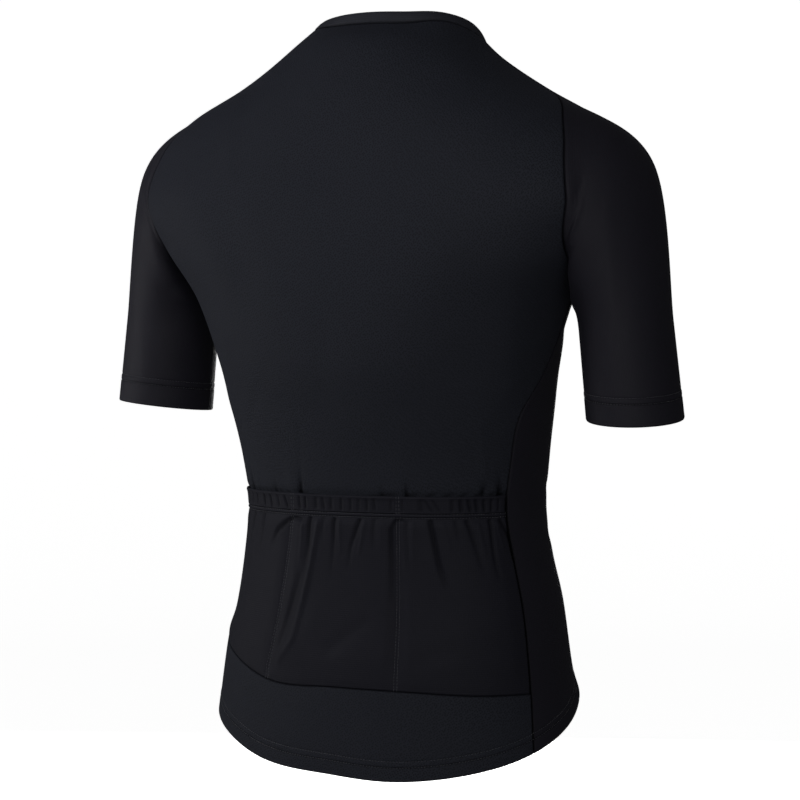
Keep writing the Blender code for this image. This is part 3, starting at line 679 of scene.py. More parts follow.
# painted shade in the creases that run into the band, darkest just above it
creasePaintedShade = {"share": 0.8, "depth": 0.0016, "reach": 0.022}
columns, rows = panelColumns(backPanel["width"], backPanel["step"]), evenRows(backPanel["rowStep"])
grid = torsoGrid(backEdges, neck, pocketFoot + backPanel["allowance"], columns, rows)
overBand = grid.z - backPanel["underBand"][1]
lift = bodyLift(grid.angle, grid.z) + seamDips(grid.fromSide, grid.fromTop)
lift -= backPanel["behind"] * (1 - smooth(*backPanel["underBand"], grid.z))
lift -= backPanel["pinch"] * bump(overBand, backPanel["pinchWidth"])
lift -= backPanel["foot"] * smooth(*backPanel["footReach"], grid.fromFoot)
creases = np.clip(-foldLift(grid.angle, grid.z, bodyFolds) / creasePaintedShade["depth"], 0, 1)
shade = seamShade(grid.fromSide) + seamShade(grid.fromTop, collarSeamPaintedShade)
shade += underArmPaintedShade(grid, grid.fromSide) + seamShade(overBand, *backPanel["pinchPaintedShade"])
shade += creasePaintedShade["share"] * creases * smooth(creasePaintedShade["reach"], 0, np.abs(overBand))
clothPiece("backPanel", raised(grid, lift, shade), microMesh)

lowerBack = {"width": 0.300, "step": 0.0030, "rowStep": 0.0030}
footSeam = ((-0.0009, 0.0009, 0), (0.0002, 0.0030, 0.0040))
columns = panelColumns(lowerBack["width"], lowerBack["step"])
grid = torsoGrid(backEdges, pocketFoot, hem, columns, hemmedRows(lowerBack["rowStep"], hemShape))
hemmedPanel("lowerBackPanel", grid, microMesh, grid.fromSide, topSeam=footSeam, topPaintedShade=(0.55, 0.0009))

sidePanel = {
    "width": 0.070,
    "step": 0.0032,
    "rowStep": 0.0040,
    "tuckDegrees": 0.5,  # runs on a little behind the back, so that no light comes through the seam
    "tuck": 0.0014,
    "besidePockets": (-0.405, -0.425),
    # painted shade beside the pockets: share and width
    "pocketPaintedShade": (0.8, 0.0026),
}
frontPanel = {
    "width": 0.150,
    "step": 0.0026,
    "closer": (0.002, 0.0007),  # along the stitches
    "rowStep": 0.0040,
    "double": 0.0003,  # turned in along the zip
    "doubleTo": (0.004, 0.006),
    # its rounded edge, and the dip along the stitches
    "dips": ((-0.0006, 0.0008, 0), (-0.0004, 0.0007, zipShape["stitches"])),
    # painted shade along the stitches
    "linePaintedShade": (0.4, 0.0006),
}
sideFront = functools.partial(seamAngle, frontEdge)
for side, sign in (("Left", 1), ("Right", -1)):
    edges = edgesBeside(sign, lambda s: seamAngle(backEdge, s) - sidePanel["tuckDegrees"], sideFront)
    columns = panelColumns(sidePanel["width"], sidePanel["step"], ((sidePanel["tuck"], *closeLine),))
    grid = torsoGrid(edges, armpit, hem, columns, hemmedRows(sidePanel["rowStep"], hemShape))
    toBack, toFront = (grid.fromRight, grid.fromLeft)[::sign]
    toSide = np.minimum(np.maximum(toBack - sidePanel["tuck"], 0), toFront)
    lift = -sidePanel["tuck"] * smooth(sidePanel["tuck"], 0, toBack)
    shade = smooth(*sidePanel["besidePockets"], grid.z) * seamShade(toBack, *sidePanel["pocketPaintedShade"])
    hemmedPanel("sidePanel" + side, grid, interlock, toSide, lift, shade)

    edges = edgesBeside(sign, sideFront, lambda s: zipEdge(s, zipShape["halfGap"]))
    closer = ((frontPanel["width"] - zipShape["stitches"], *frontPanel["closer"]),)
    columns = panelColumns(frontPanel["width"], frontPanel["step"], closer)
    grid = torsoGrid(edges, neck, hem, columns, hemmedRows(frontPanel["rowStep"], hemShape))
    toSide, toZip = (grid.fromRight, grid.fromLeft)[::sign]
    lift = frontPanel["double"] * (1 - smooth(*frontPanel["doubleTo"], toZip))
    lift += ridges(toZip, frontPanel["dips"])
    shade = underArmPaintedShade(grid, toSide) + seamShade(toZip - zipShape["stitches"], *frontPanel["linePaintedShade"])
    hemmedPanel("front" + side, grid, microMesh, toSide, lift, shade, topPaintedShade=(collarSeamPaintedShade,))
print("body panels cut")

# Three sections of a sleeve: the middle and half sizes, and the rise of the outer end in degrees, to which
# the cuff adds its own on each side.
sleeveSections = {
    "shoulderCap": (0.2212, 0.0130, -0.1800, 0.0745, 0.0720, 68),
    "biceps": (0.2353, 0.0165, -0.2620, 0.0400, 0.0520, 10),
    "cuff": (0.2440, 0.0160, -0.3440, 0.0420, 0.0500, 0),
}
sleeveShape = {
    "cuff": {"Left": (6.2, -2.7, 0.0035), "Right": (-2.7, 6.0, 0.0008)},  # lean, dip and lift
    "crease": (-0.150, -0.225),  # begins under the first height and is full at the second
    "creaseDrop": 0.008,
    "pointReach": 0.032,
    "seamReach": 0.006,  # lies along the body so far from the seam
    "bodyReach": 0.030,  # the body's folds run on so far into it
    "underArm": (-0.165, -0.215),
    # painted shade under the arm: share and width
    "underPaintedShade": (0.6, 0.0060),
    "columns": 150,
    "rowStep": 0.0034,
}
# each sleeve's folds, as above, by the share of the way round the armhole from the shoulder down the back
# and the millimetres from the armhole seam with a minus sign
sleeveFolds = {
    "Left": (
        ((0.3, -4, -0.9, 5), (0.13, -42, -0.4, 5)),
        ((0.33, -4, 0.8, 6), (0.175, -50, 0.4, 6)),
        ((0.425, -2, -1, 5.5), (0.33, -60, -0.4, 5.5)),
        ((0.56, -2, -1.1, 5.5), (0.64, -58, -0.4, 5.5)),
        ((0.69, -3, 1.2, 5), (0.86, -44, 0.5, 5)),
        ((0.66, -4, -0.9, 5), (0.82, -50, -0.4, 5)),
        ((0.45, -70, 0.6, 12), (0.35, -100, 0.4, 12)),
        ((0.88, -60, 0.5, 14), (0.8, -120, 0.4, 14)),
    ),
    "Right": (
        ((0.345, -6, 1, 3.4), (0.3, -19, 1.5, 3.4), (0.245, -34, 0.6, 4.4)),
        ((0.368, -4, -0.9, 3.8), (0.32, -24, -1.1, 3.8), (0.268, -42, -0.4, 5)),
        ((0.275, -10, -0.6, 3.6), (0.225, -26, -0.6, 4.2)),
        ((0.3, -6, 0.4, 3), (0.262, -16, 0.5, 3)),
        ((0.43, -2, -1, 5.5), (0.34, -55, -0.3, 5.5)),
        ((0.57, -2, -1.1, 6), (0.65, -60, -0.4, 6)),
        ((0.7, -3, 1.1, 5.5), (0.87, -42, 0.5, 5.5)),
        ((0.668, -4, -0.8, 5), (0.83, -48, -0.4, 5)),
        ((0.18, -80, 0.5, 13), (0.23, -140, 0.5, 13)),
        ((0.85, -65, 0.5, 14), (0.78, -125, 0.4, 14)),
    ),
}
armholeLength = 0.42  # turns shares of the armhole into metres for the folds


def armhole(sign, count):
    places = np.linspace(shoulderEnd, armpit, 200)
    under = np.linspace(0, 1, 60)[1:-1]
    back, front = seamAngle(backEdge, places), seamAngle(frontEdge, places)
    angles = np.concatenate([back, back[-1] + (front[-1] - back[-1]) * under, front[::-1][:-1]])
    places = np.concatenate([places, np.full(len(under), float(armpit)), places[::-1][:-1]])
    angles, places = np.append(angles, angles[0]), np.append(places, places[0])
    run = np.linalg.norm(np.diff(torso(sign * angles, places), axis=0), axis=1)
    run = np.concatenate([[0], np.cumsum(run)])
    wanted = np.linspace(0, run[-1], count + 1)[:-1]
    return sign * np.interp(wanted, run, angles), np.interp(wanted, run, places)


def sleeveSection(name, sign, turns, lean=0.0, dip=0.0, lift=0.0):
    # lean is the rise of a section's outer end, and dip the fall of its rear end
    x, y, z, across, deep, ownLean = sleeveSections[name]
    tilt, drop = math.radians(ownLean + lean), math.radians(dip)
    outward = np.array([sign * math.cos(tilt), 0, math.sin(tilt)])
    aft = np.array([0, math.cos(drop), -math.sin(drop)])
    middle = np.array([sign * x, y, z + lift])
    return middle + np.cos(turns)[:, None] * across * outward + np.sin(turns)[:, None] * deep * aft


def sleeveLine(start, startSlope, cap, biceps, cuff, t):
    # smooth from the seam by the cap to the biceps for t from 0 to 2, then straight to the cuff at 3
    if t <= 1:
        return hermite(start, startSlope, cap, (biceps - start) / 2, t)
    if t <= 2:
        return hermite(cap, (biceps - start) / 2, biceps, cuff - biceps, t - 1)
    return biceps + (cuff - biceps) * (t - 2)


def sleeveGrid(side, sign):
    angles, places = armhole(sign, sleeveShape["columns"])
    seamPoints, seamNormals = torso(angles, places), torsoNormal(angles, places)
    along = unit(np.roll(seamPoints, -1, axis=0) - np.roll(seamPoints, 1, axis=0))
    away = unit(np.cross(along, seamNormals))
    away *= np.where(away[:, :1] * sign < 0, -1, 1)
    low, high = seamPoints.min(axis=0), seamPoints.max(axis=0)
    fromMiddle = (seamPoints - (low + high) / 2) / ((high - low) / 2)
    turns = np.arctan2(fromMiddle[:, 1], fromMiddle[:, 2])
    cap, biceps = [sleeveSection(name, sign, turns) for name in ("shoulderCap", "biceps")]
    cuff = sleeveSection("cuff", sign, turns, *sleeveShape["cuff"][side])
    crease = smooth(*sleeveShape["crease"], seamPoints[:, 2])[:, None]
    toCap = cap - seamPoints
    leave = unit(away * (1 - crease) + unit(toCap - np.array([0, 0, sleeveShape["creaseDrop"]])) * crease)
    # at the point of the shoulder the seam turns sharply, and the sleeve leaves it straight for its cap
    point = bump(np.linalg.norm(seamPoints - seamPoints[0], axis=1)[:, None], sleeveShape["pointReach"])
    leave = unit(leave * (1 - point) + unit(toCap) * point) * np.linalg.norm(toCap, axis=1, keepdims=True)
    table = np.array([sleeveLine(seamPoints, leave, cap, biceps, cuff, t) for t in np.linspace(0, 3, 361)])
    down = cumulative(table, 0)
    wanted = hemmedRows(sleeveShape["rowStep"], cuffHem)(down[-1])
    points = np.array([
        [np.interp(wanted[:, k], down[:, k], table[:, k, axis]) for k in range(len(turns))]
        for axis in range(3)
    ]).transpose(2, 1, 0)
    acrossIt = np.roll(points, -1, axis=1) - np.roll(points, 1, axis=1)
    normals = unit(np.cross(np.gradient(points, axis=0), acrossIt)) * sign
    if ((points - points.mean(axis=1, keepdims=True)) * normals).sum() < 0:
        normals = -normals
    grid = gridFrom(points, normals)
    grid.around = grid.fromRight[:, -1] + np.linalg.norm(points[:, 0] - points[:, -1], axis=-1)
    # at the seam the sleeve is pressed along the body's own normal, so that both edges stay together
    follow = (1 - smooth(0, sleeveShape["seamReach"], grid.fromTop))[..., None]
    grid.normals = unit(normals * (1 - follow) + seamNormals[None] * follow)
    share = np.linspace(0, 1, len(turns), endpoint=False)[None] * np.ones((len(wanted), 1))
    lift = ridges(grid.fromTop) + foldLift(share, -grid.fromTop, sleeveFolds[side], armholeLength)
    lift += bodyLift(angles, seamPoints[:, 2]) * (1 - smooth(0, sleeveShape["bodyReach"], grid.fromTop))
    under = smooth(*sleeveShape["underArm"], seamPoints[:, 2])[None]
    shade = seamShade(grid.fromTop) + under * seamShade(grid.fromTop, *sleeveShape["underPaintedShade"])
    return raised(grid, lift + hemLift(grid.fromFoot, cuffHem), shade + hemShade(grid.fromFoot, cuffHem))


for side, sign in (("Left", 1), ("Right", -1)):
    clothPiece("sleeve" + side, sleeveGrid(side, sign), interlock, flip=sign > 0)
print("sleeves set in")

collarShape = {
    "height": (10.2, 8.5, 5.2, 8.5, 11.5, 13.8, 15, 13.8, 12, 12.6, 8, 10.1),  # as the heights above
    "foot": 0.0002,
    "leanBack": 0.0015,
    "leanSide": 0.0068,
    "thickness": 0.0014,
    "allowance": ((0.0010, 0.0005), (0.0017, 0.0018), (0.0018, 0.0040)),  # in and down, behind the body
    "roll": ((-0.0007, 0.0010, 0), (0.0003, 0.0036, 0.0040)),  # the rounded edge and the swell below it
    "pucker": 0.00018,
    "puckerWaves": 61,
    "puckerReach": 0.006,
    "columns": 261,
    "rows": (0.012, 0.0012, ((0, 0.002, 0.0004), (0.012, 0.003, 0.0004))),  # length, step and closer places
    "seamDip": 0.5,
    # painted shade in the collar seam
    "seamDark": 0.5,
}


def collarSurface(angle, share):
    foot = torso(angle, float(neck))
    turn = np.radians(angle)
    height = allRound(np.array(collarShape["height"]) / 1000, angle)
    lean = collarShape["leanBack"] * (1 + np.cos(turn)) / 2 * np.cos(turn) ** 2
    lean += collarShape["leanSide"] * np.sin(turn) ** 2
    outward = unit(foot * np.array([1, 1, 0]) - np.array([0, float(ringValue("middleY", neck)), 0]))
    rise = np.array([0, 0, 1]) * (collarShape["foot"] + height * share)[..., None]
    return foot - outward * (lean * share)[..., None] + rise, outward


collarTurns = np.linspace(-1, 1, collarShape["columns"]) * float(zipEdge(float(neck), zipShape["halfGap"]))
collarShares = 1 - sharesAlong(*collarShape["rows"])
points, outward = zip(*[collarSurface(collarTurns, share) for share in collarShares])
points += tuple(
    points[-1] - outward[0] * inward - np.array([0, 0, drop]) for inward, drop in collarShape["allowance"]
)
outward += (outward[0],) * len(collarShape["allowance"])
grid = gridFrom(np.array(points), np.array(outward), np.broadcast_to(collarTurns, np.shape(points)[:2]))
toSeam = grid.fromTop[len(collarShares) - 1] - grid.fromTop
turn = np.radians(grid.angle)
pucker = np.sin(turn * collarShape["puckerWaves"] + 3 * np.sin(turn * 7))
pucker *= 1 - smooth(0, collarShape["puckerReach"], toSeam)
lift = ridges(grid.fromTop, collarShape["roll"]) + collarShape["seamDip"] * ridges(np.maximum(toSeam, 0))
lift += collarShape["pucker"] * pucker + bodyLift(grid.angle, grid.z)
raised(grid, lift, seamShade(np.maximum(toSeam, 0), collarShape["seamDark"]))
clothPiece("collarBand", grid, collarPaintedLightKnit, collarShape["thickness"])
print("collar set on")

pocketShape = {
    "top": -0.4125,
    "depth": 0.165,
    "band": 0.0158,
    "step": 0.0012,
    "rowStep": 0.0024,
    "rowsUnderBand": (0.0075, 0.0006),
    "closer": (0.006, 0.0006),  # along the dividers
    "dividers": ((26.4, 32.4), (-28.6, -26.2)),  # angle at the band and at the foot
    "twin": 0.0013,  # half the distance between the two lines of each divider
    "dividerDip": (-0.0006, 0.0030),
    "twinDip": (-0.0003, 0.0006),
    "twinFrom": 0.002,  # the stitches of the dividers start this far below the ridge
    "lift": 0.0007,
    "liftFrom": 0.008,  # full so far above the foot
    "loose": {"left": 0.0011, "middle": 0.0022, "right": 0.0022},
    "valley": 5.5,  # degrees from a divider to where the cloth stands free
    "looseFrom": {"fromSide": (0, 0.022), "fromFoot": (0, 0.030), "fromTop": (0.003, 0.012)},
    "gatherFoot": 0.010,
    "deepest": 0.0012,  # a gather goes no deeper below the back than this
    "ridge": 0.0034,  # the second line of stitches lies this far below the band
    "ridgeDip": (-0.0006, 0.0008),
    "belowRidge": 0.003,
    "topRidges": ((-0.0006, 0.0006, 0), (0.0005, 0.0012, 0.0017)),
    "topLine": 0.0003,
    "twinFoot": 0.006,
    # painted shade beside the sides, at the foot, under the ridge and in the gathers
    "sidePaintedShade": (0.95, 0.0019),
    "footPaintedShade": (0.6, 0.0009),
    "ridgePaintedShade": (0.35, 0.0008),
    "gatherPaintedShade": 0.45,
    "gatherDepth": 0.0020,  # where a gather's painted shade is full
}
pocketSide = ((-0.0021, 0.0018, 0),)
bandShape = {
    "lift": 0.0011,
    "bodyFrom": (-0.0005, 0.006),  # the body's folds come in below the top edge
    "sideFrom": (-0.004, 0.012),
    "columns": 520,
    "rowStep": 0.0013,
    "rowsAtEdge": (0.002, 0.0004),
    "pleatsFrom": (0.0012, 0.0046),  # below the top edge
    "pleatsTo": (0.0006, 0.0034),  # above the foot
    "topRidges": ((-0.0006, 0.0006, 0), (0.0003, 0.0012, 0.0018)),
    "footRidges": ((-0.0006, 0.0007, 0),),
    "sideRidges": ((-0.0018, 0.0016, 0),),
    "dividers": 0.5,  # how deep the lines of the dividers are beside those below
    # painted shade beside the ends, at the foot and in the pleats
    "sidePaintedShade": (0.9, 0.0016),
    "footPaintedShade": (0.5, 0.0007),
    "pleatPaintedShade": 0.4,
    "pleatDepth": 0.0014,
}
# gathers under the band, as the folds above
pocketFolds = (
    # the tuck that hooks round the left divider
    (
        (20.8, -436.2, -1.3, 1.5), (24.4, -434.6, -2.2, 1.5), (29.6, -438.4, -2.6, 1.7),
        (35.4, -447.4, -1.9, 2.2), (38.5, -460, -0.3, 3),
    ),
    ((20.2, -442, 1, 1.8), (20.9, -470.8, 0.5, 1.8)),
    ((16.4, -434.5, -2.4, 2.5), (16.8, -460.3, -1.4, 2.6), (18.8, -482, -0.3, 3)),
    (
        (11.6, -437, 1.5, 2.4), (15, -477.6, 1.8, 2.6), (18, -511.5, 2, 3),
        (20.6, -544.3, 1.7, 3.2), (26.4, -563, 0.7, 3.2),
    ),
    ((20.4, -486.5, -0.8, 3.2), (24, -518.3, -1.4, 3.2), (27.4, -548, -1.1, 3)),
    ((9, -434.5, -0.8, 2.4), (9.6, -452, -0.2, 2.4)),
    ((3.2, -434.5, -2.1, 2.2), (3.2, -460.3, -0.9, 2.2), (4.2, -487, -0.1, 3)),
    ((0, -436, 1, 1.9), (-0.4, -464, 0.5, 1.9)),
    ((-10.2, -434.5, -2.2, 2.2), (-6, -458.1, -1.1, 2.2), (-4.5, -478, -0.2, 2.8)),
    ((-13, -436, 1, 1.8), (-10, -463.1, 0.5, 1.8)),
    ((-17.5, -434.5, -1.2, 2.2), (-17, -456, -0.4, 2.2)),
    ((-21, -434.5, 0.5, 2.4), (-20.5, -462, 0.2, 2.4)),
    # the same at the right divider
    (
        (-30.5, -433.6, -1.3, 1.4), (-27.5, -434, -1.9, 1.4),
        (-25.2, -442, -1.8, 1.8), (-24.8, -504.5, -0.5, 2.6),
    ),
    ((-32, -436, -1.1, 2.4), (-32, -480, -0.4, 2.4)),
    ((-35, -437, 0.9, 2.2), (-34, -469, 0.5, 2.2)),
    ((-41.8, -434.5, -2.5, 2.1), (-44, -473.8, -1.9, 2.1), (-45.8, -492, -0.6, 2.7)),
    ((-46.6, -438, 0.8, 2), (-48.5, -460, 0.4, 2)),
    ((-51.5, -434.5, -1, 1.9), (-52, -452, -0.3, 1.9)),
    ((-55.8, -434.5, -2.2, 1.8), (-58, -456.7, -1.2, 1.8), (-60.2, -482, -0.2, 2.5)),
    ((-59.8, -438, 0.9, 1.5), (-61.2, -464, 0.5, 1.5)),
    ((-64.9, -434.5, -2.6, 1.6), (-64.8, -466.2, -1.5, 1.6), (-65.6, -488, -0.3, 2.2)),
    ((-67.6, -437, 0.8, 1.4), (-69.2, -460, 0.5, 1.4)),
    ((-69.5, -434.5, -2.6, 1.6), (-72.4, -448.1, -2, 1.6), (-73.6, -470, -1, 1.7)),
    ((45, -434.5, -1.3, 2.4), (46, -462, -0.3, 2.4)),
    ((53, -434.5, -1.3, 2.2), (55, -456, -0.3, 2.2)),
    ((61.5, -434.5, -1.6, 2.4), (64.5, -464, -0.4, 2.4)),
    ((68, -434.5, -1.6, 2), (71, -460, -0.5, 2)),
    ((49, -434.5, 0.6, 3), (51, -480, 0.2, 3)),
)
# each pocket bags a little near its foot
pocketBags = (
    ((14, -530, 1.3, 14), (20, -548, 1.3, 14)),
    ((-50, -534, 1.5, 16), (-60, -530, 1.2, 16)),
    ((50, -526, 0.8, 15), (57, -518, 0.7, 15)),
    ((3, -551.3, -1.2, 7), (-13.2, -526.5, -0.8, 7)),
    ((-35, -560, -0.9, 8), (-46, -548, -0.6, 8)),
)
# pleats across the band: angle, swing of the foot in degrees, depth and width in millimetres
bandPleats = (
    (70, 0, 0.8, 1.4), (65.5, 0.5, 0.9, 1.5), (60, 0, 0.9, 1.6), (55, 0.5, 0.8, 1.5), (50.3, 0.5, 0.9, 1.4),
    (44.5, -0.5, 1.3, 1.4), (40, -1.5, 1.3, 1.5), (35.2, -1.2, 1, 1.6), (30.4, -2.4, 1.3, 1.5),
    (22.4, -0.5, 1, 1.6), (19, 0, 1.1, 1.3), (13.1, 0, 0.9, 2.4), (9, -1, 0.9, 1.7), (4.7, 0, 0.8, 2),
    (-0.8, 0.3, 0.9, 1.5), (-5.8, 0, 0.8, 1.6), (-10, 0.4, 0.7, 1.8), (-14.2, 0, 0.9, 1.6),
    (-17.8, 0, 0.8, 1.8), (-25.6, 0, 0.7, 1.2), (-30.6, 0, 0.7, 1.2), (-38.2, 0, 0.8, 2.2),
    (-41, -4, 0.9, 1.3), (-44, -4, 0.8, 1.2), (-50.4, 0.3, 0.9, 1.6), (-53.7, -0.6, 1.4, 1.5),
    (-57, -1.5, 1.5, 1.4), (-59.8, -1.2, 1.5, 1.5), (-62.9, -0.6, 1.4, 1.4), (-65.9, 0, 1.4, 1.3),
    (-69, 0, 1, 1.2), (-72.2, 0, 1, 1.1),
)


def dividerAngle(divider, z):
    share = np.clip((pocketShape["top"] - z) / pocketShape["depth"], 0, 1)
    return divider[0] + (divider[1] - divider[0]) * share


def looseLift(angle, z):
    # how far each pocket stands off the back, down to nothing at its dividers
    left, right = [dividerAngle(divider, z) for divider in pocketShape["dividers"]]
    loose = pocketShape["loose"]
    standsOff = np.where(angle < right, loose["right"], loose["middle"])
    standsOff = np.where(angle > left, loose["left"], standsOff)
    toDivider = np.minimum(np.abs(angle - left), np.abs(angle - right))
    return standsOff * smooth(0, pocketShape["valley"], toDivider)


def twinLines(angle, z):
    # two lines of stitches down each divider, with the cloth standing up a little between them
    rows = [(*pocketShape["dividerDip"], 0)]
    rows += [(*pocketShape["twinDip"], offset) for offset in (-pocketShape["twin"], pocketShape["twin"])]
    aside = [(angle - dividerAngle(divider, z)) * metresPerDegree for divider in pocketShape["dividers"]]
    return sum(ridges(distance, rows) for distance in aside)


edge = float(seamAngle(backEdge, float(ringAt["waist"])))
pocketWidth = 2 * edge * metresPerDegree
pocketTop = pocketShape["top"] - pocketShape["band"]
closer = [
    ((edge + end) * metresPerDegree, *pocketShape["closer"])
    for divider in pocketShape["dividers"] for end in divider
]
columns = panelColumns(pocketWidth, pocketShape["step"], closer)
top = placeAtHeight(backEdges, columns, pocketTop)
rows = evenRows(pocketShape["rowStep"], atTop=pocketShape["rowsUnderBand"])
grid = torsoGrid(backEdges, top, pocketFoot, columns, rows)
underRidge = grid.fromTop - pocketShape["ridge"]
belowRidge = smooth(0, pocketShape["belowRidge"], underRidge)
loose = looseLift(grid.angle, grid.z)
for measure, reach in pocketShape["looseFrom"].items():
    loose *= smooth(*reach, getattr(grid, measure))
gathers, bags = [
    foldLift(grid.angle, grid.z, folds) * belowRidge * smooth(0, pocketShape["gatherFoot"], grid.fromFoot)
    for folds in (pocketFolds, pocketBags)
]
lift = bodyLift(grid.angle, grid.z) + loose + np.maximum(gathers + bags, -loose - pocketShape["deepest"])
lift += pocketShape["lift"] * smooth(0, pocketShape["liftFrom"], grid.fromFoot)
lift += ridges(grid.fromTop, pocketShape["topRidges"]) + ridges(underRidge, [(*pocketShape["ridgeDip"], 0)])
lift += twinLines(grid.angle, grid.z) * belowRidge * smooth(0, pocketShape["twinFoot"], grid.fromFoot)
lift += seamDips(grid.fromSide, grid.fromFoot, pocketSide, footSeam)
shade = seamShade(grid.fromSide, *pocketShape["sidePaintedShade"])
shade += seamShade(grid.fromFoot, *pocketShape["footPaintedShade"])
shade += seamShade(underRidge, *pocketShape["ridgePaintedShade"])
shade += pocketShape["gatherPaintedShade"] * np.clip(-gathers / pocketShape["gatherDepth"], 0, 1)
clothPiece("pocketPanel", raised(grid, lift, shade), pocketKnit)

columns = sharesAlong(pocketWidth, pocketWidth / bandShape["columns"])
top, foot = [placeAtHeight(backEdges, columns, z) for z in (pocketShape["top"], pocketTop)]
rows = evenRows(bandShape["rowStep"], bandShape["rowsAtEdge"], bandShape["rowsAtEdge"])
grid = torsoGrid(backEdges, top, foot, columns, rows)
swung = (pocketShape["top"] - grid.z) / pocketShape["band"] - 0.5
pleats = np.zeros(grid.angle.shape)
for middle, swing, depth, width in bandPleats:
    pleats -= depth / 1000 * bump((grid.angle - middle - swing * swung) * metresPerDegree, width / 1000)
pleats *= smooth(*bandShape["pleatsFrom"], grid.fromTop) * smooth(*bandShape["pleatsTo"], grid.fromFoot)
lift = bodyLift(grid.angle, grid.z) * smooth(*bandShape["bodyFrom"], grid.fromTop) + pleats
lift += bandShape["lift"]
lift += ridges(grid.fromTop, bandShape["topRidges"]) + ridges(grid.fromFoot, bandShape["footRidges"])
lift = lift * smooth(*bandShape["sideFrom"], grid.fromSide) + ridges(grid.fromSide, bandShape["sideRidges"])
lift += twinLines(grid.angle, grid.z) * bandShape["dividers"]
shade = seamShade(grid.fromSide, *bandShape["sidePaintedShade"]) + seamShade(grid.fromFoot, *bandShape["footPaintedShade"])
shade += bandShape["pleatPaintedShade"] * np.clip(-pleats / bandShape["pleatDepth"], 0, 1)
clothPiece("pocketBand", raised(grid, lift, shade), pocketKnit)
print("pockets laid on")


def tapeAngles(place, share):
    inner, closed = zipShape["tapeInner"], smooth(*zipShape["closing"], share)
    inner += (zipShape["tapeClosed"] - inner) * float(closed)
    return np.linspace(*zipEdge(place, np.array([inner, zipShape["tapeOuter"]])), zipShape["tapeColumns"])


for side, sign in (("Left", 1), ("Right", -1)):
    points, normals = [], []
    for share in zipShape["tapeShares"]:
        surface, outward = collarSurface(sign * tapeAngles(float(neck), share), share)
        points.append(surface - outward * zipShape["tapeDepth"])
        normals.append(outward)
    for place in np.linspace(neck, hem - zipShape["tapeEnd"], zipShape["tapeRows"])[1:]:
        angles = sign * tapeAngles(place, 0)
        surface, outward = torso(angles, place), torsoNormal(angles, place)
        lift = bodyLift(angles, surface[..., 2]) - zipShape["tapeDepth"]
        points.append(surface + outward * lift[..., None])
        normals.append(outward)
    grid = gridFrom(np.array(points), np.array(normals))
    raised(grid, ridges(grid.fromRight, zipShape["tapeRib"]))
    clothPiece("zipTape" + side, grid, zipTape, zipShape["tapeThickness"], flip=sign > 0)
print("zip tapes laid in")


def newTree(name, sizes):
    tree = bpy.data.node_groups.new(name, "GeometryNodeTree")
    for way in ("INPUT", "OUTPUT"):
        tree.interface.new_socket("Geometry", in_out=way, socket_type="NodeSocketGeometry")
    for label, value in sizes.items():
        kind = "NodeSocketInt" if isinstance(value, int) else "NodeSocketFloat"
        tree.interface.new_socket(label, in_out="INPUT", socket_type=kind).default_value = value
    return tree, addNode(tree, "NodeGroupInput").outputs


def ballsAlong(tree, given, segments, rings, size, rotation):
    # small balls a pitch apart along the line, each drawn out to its size
    line = addNode(tree, "GeometryNodeMeshToCurve", {"Mesh": given["Geometry"]}).outputs["Curve"]
    spaced = addNode(tree, "GeometryNodeResampleCurve", {
        "Curve": line, "Length": given["Pitch"],
    }, mode="LENGTH")
    ball = addNode(tree, "GeometryNodeMeshUVSphere", {"Segments": segments, "Rings": rings, "Radius": 1})
    scale = addNode(tree, "ShaderNodeCombineXYZ", size).outputs[0]
    drawnOut = addNode(tree, "GeometryNodeTransform", {"Geometry": ball.outputs["Mesh"], "Scale": scale})
    return addNode(tree, "GeometryNodeInstanceOnPoints", {
        "Points": spaced.outputs["Curve"], "Instance": drawnOut.outputs["Geometry"], "Rotation": rotation,
    }).outputs["Instances"]


def finishTree(tree, geometry, material):
    real = addNode(tree, "GeometryNodeRealizeInstances", {"Geometry": geometry}).outputs["Geometry"]
    rounded = addNode(tree, "GeometryNodeSetShadeSmooth", {"Geometry": real}).outputs[0]
    made = addNode(tree, "GeometryNodeSetMaterial", {"Geometry": rounded, "Material": material})
    tree.links.new(made.outputs["Geometry"], addNode(tree, "NodeGroupOutput").inputs[0])
    return tree


def stitchTree():
    tree, given = newTree("Line of stitches", {
        "Pitch": 0.0028, "Stitch length": 0.0022, "Thread radius": 0.00017, "Wander": 0.00006, "Seed": 4,
    })
    halfLength = calculate(tree, "MULTIPLY", given["Stitch length"], 0.5)
    size = {"X": given["Thread radius"], "Y": given["Thread radius"], "Z": halfLength}
    along = addNode(tree, "GeometryNodeInputTangent").outputs["Tangent"]
    facing = addNode(tree, "FunctionNodeAlignRotationToVector", {"Vector": along}, axis="Z")
    laid = ballsAlong(tree, given, 6, 5, size, facing.outputs["Rotation"])
    low, high = [
        addNode(tree, "ShaderNodeVectorMath", {0: end, "Scale": given["Wander"]}, operation="SCALE")
        for end in ((-1, -1, -1), (1, 1, 1))
    ]
    loose = addNode(tree, "FunctionNodeRandomValue", {
        0: low.outputs[0], 1: high.outputs[0], "Seed": given["Seed"],
    }, data_type="FLOAT_VECTOR").outputs[0]
    moved = addNode(tree, "GeometryNodeTranslateInstances", {"Instances": laid, "Translation": loose})
    return finishTree(tree, moved.outputs["Instances"], thread)


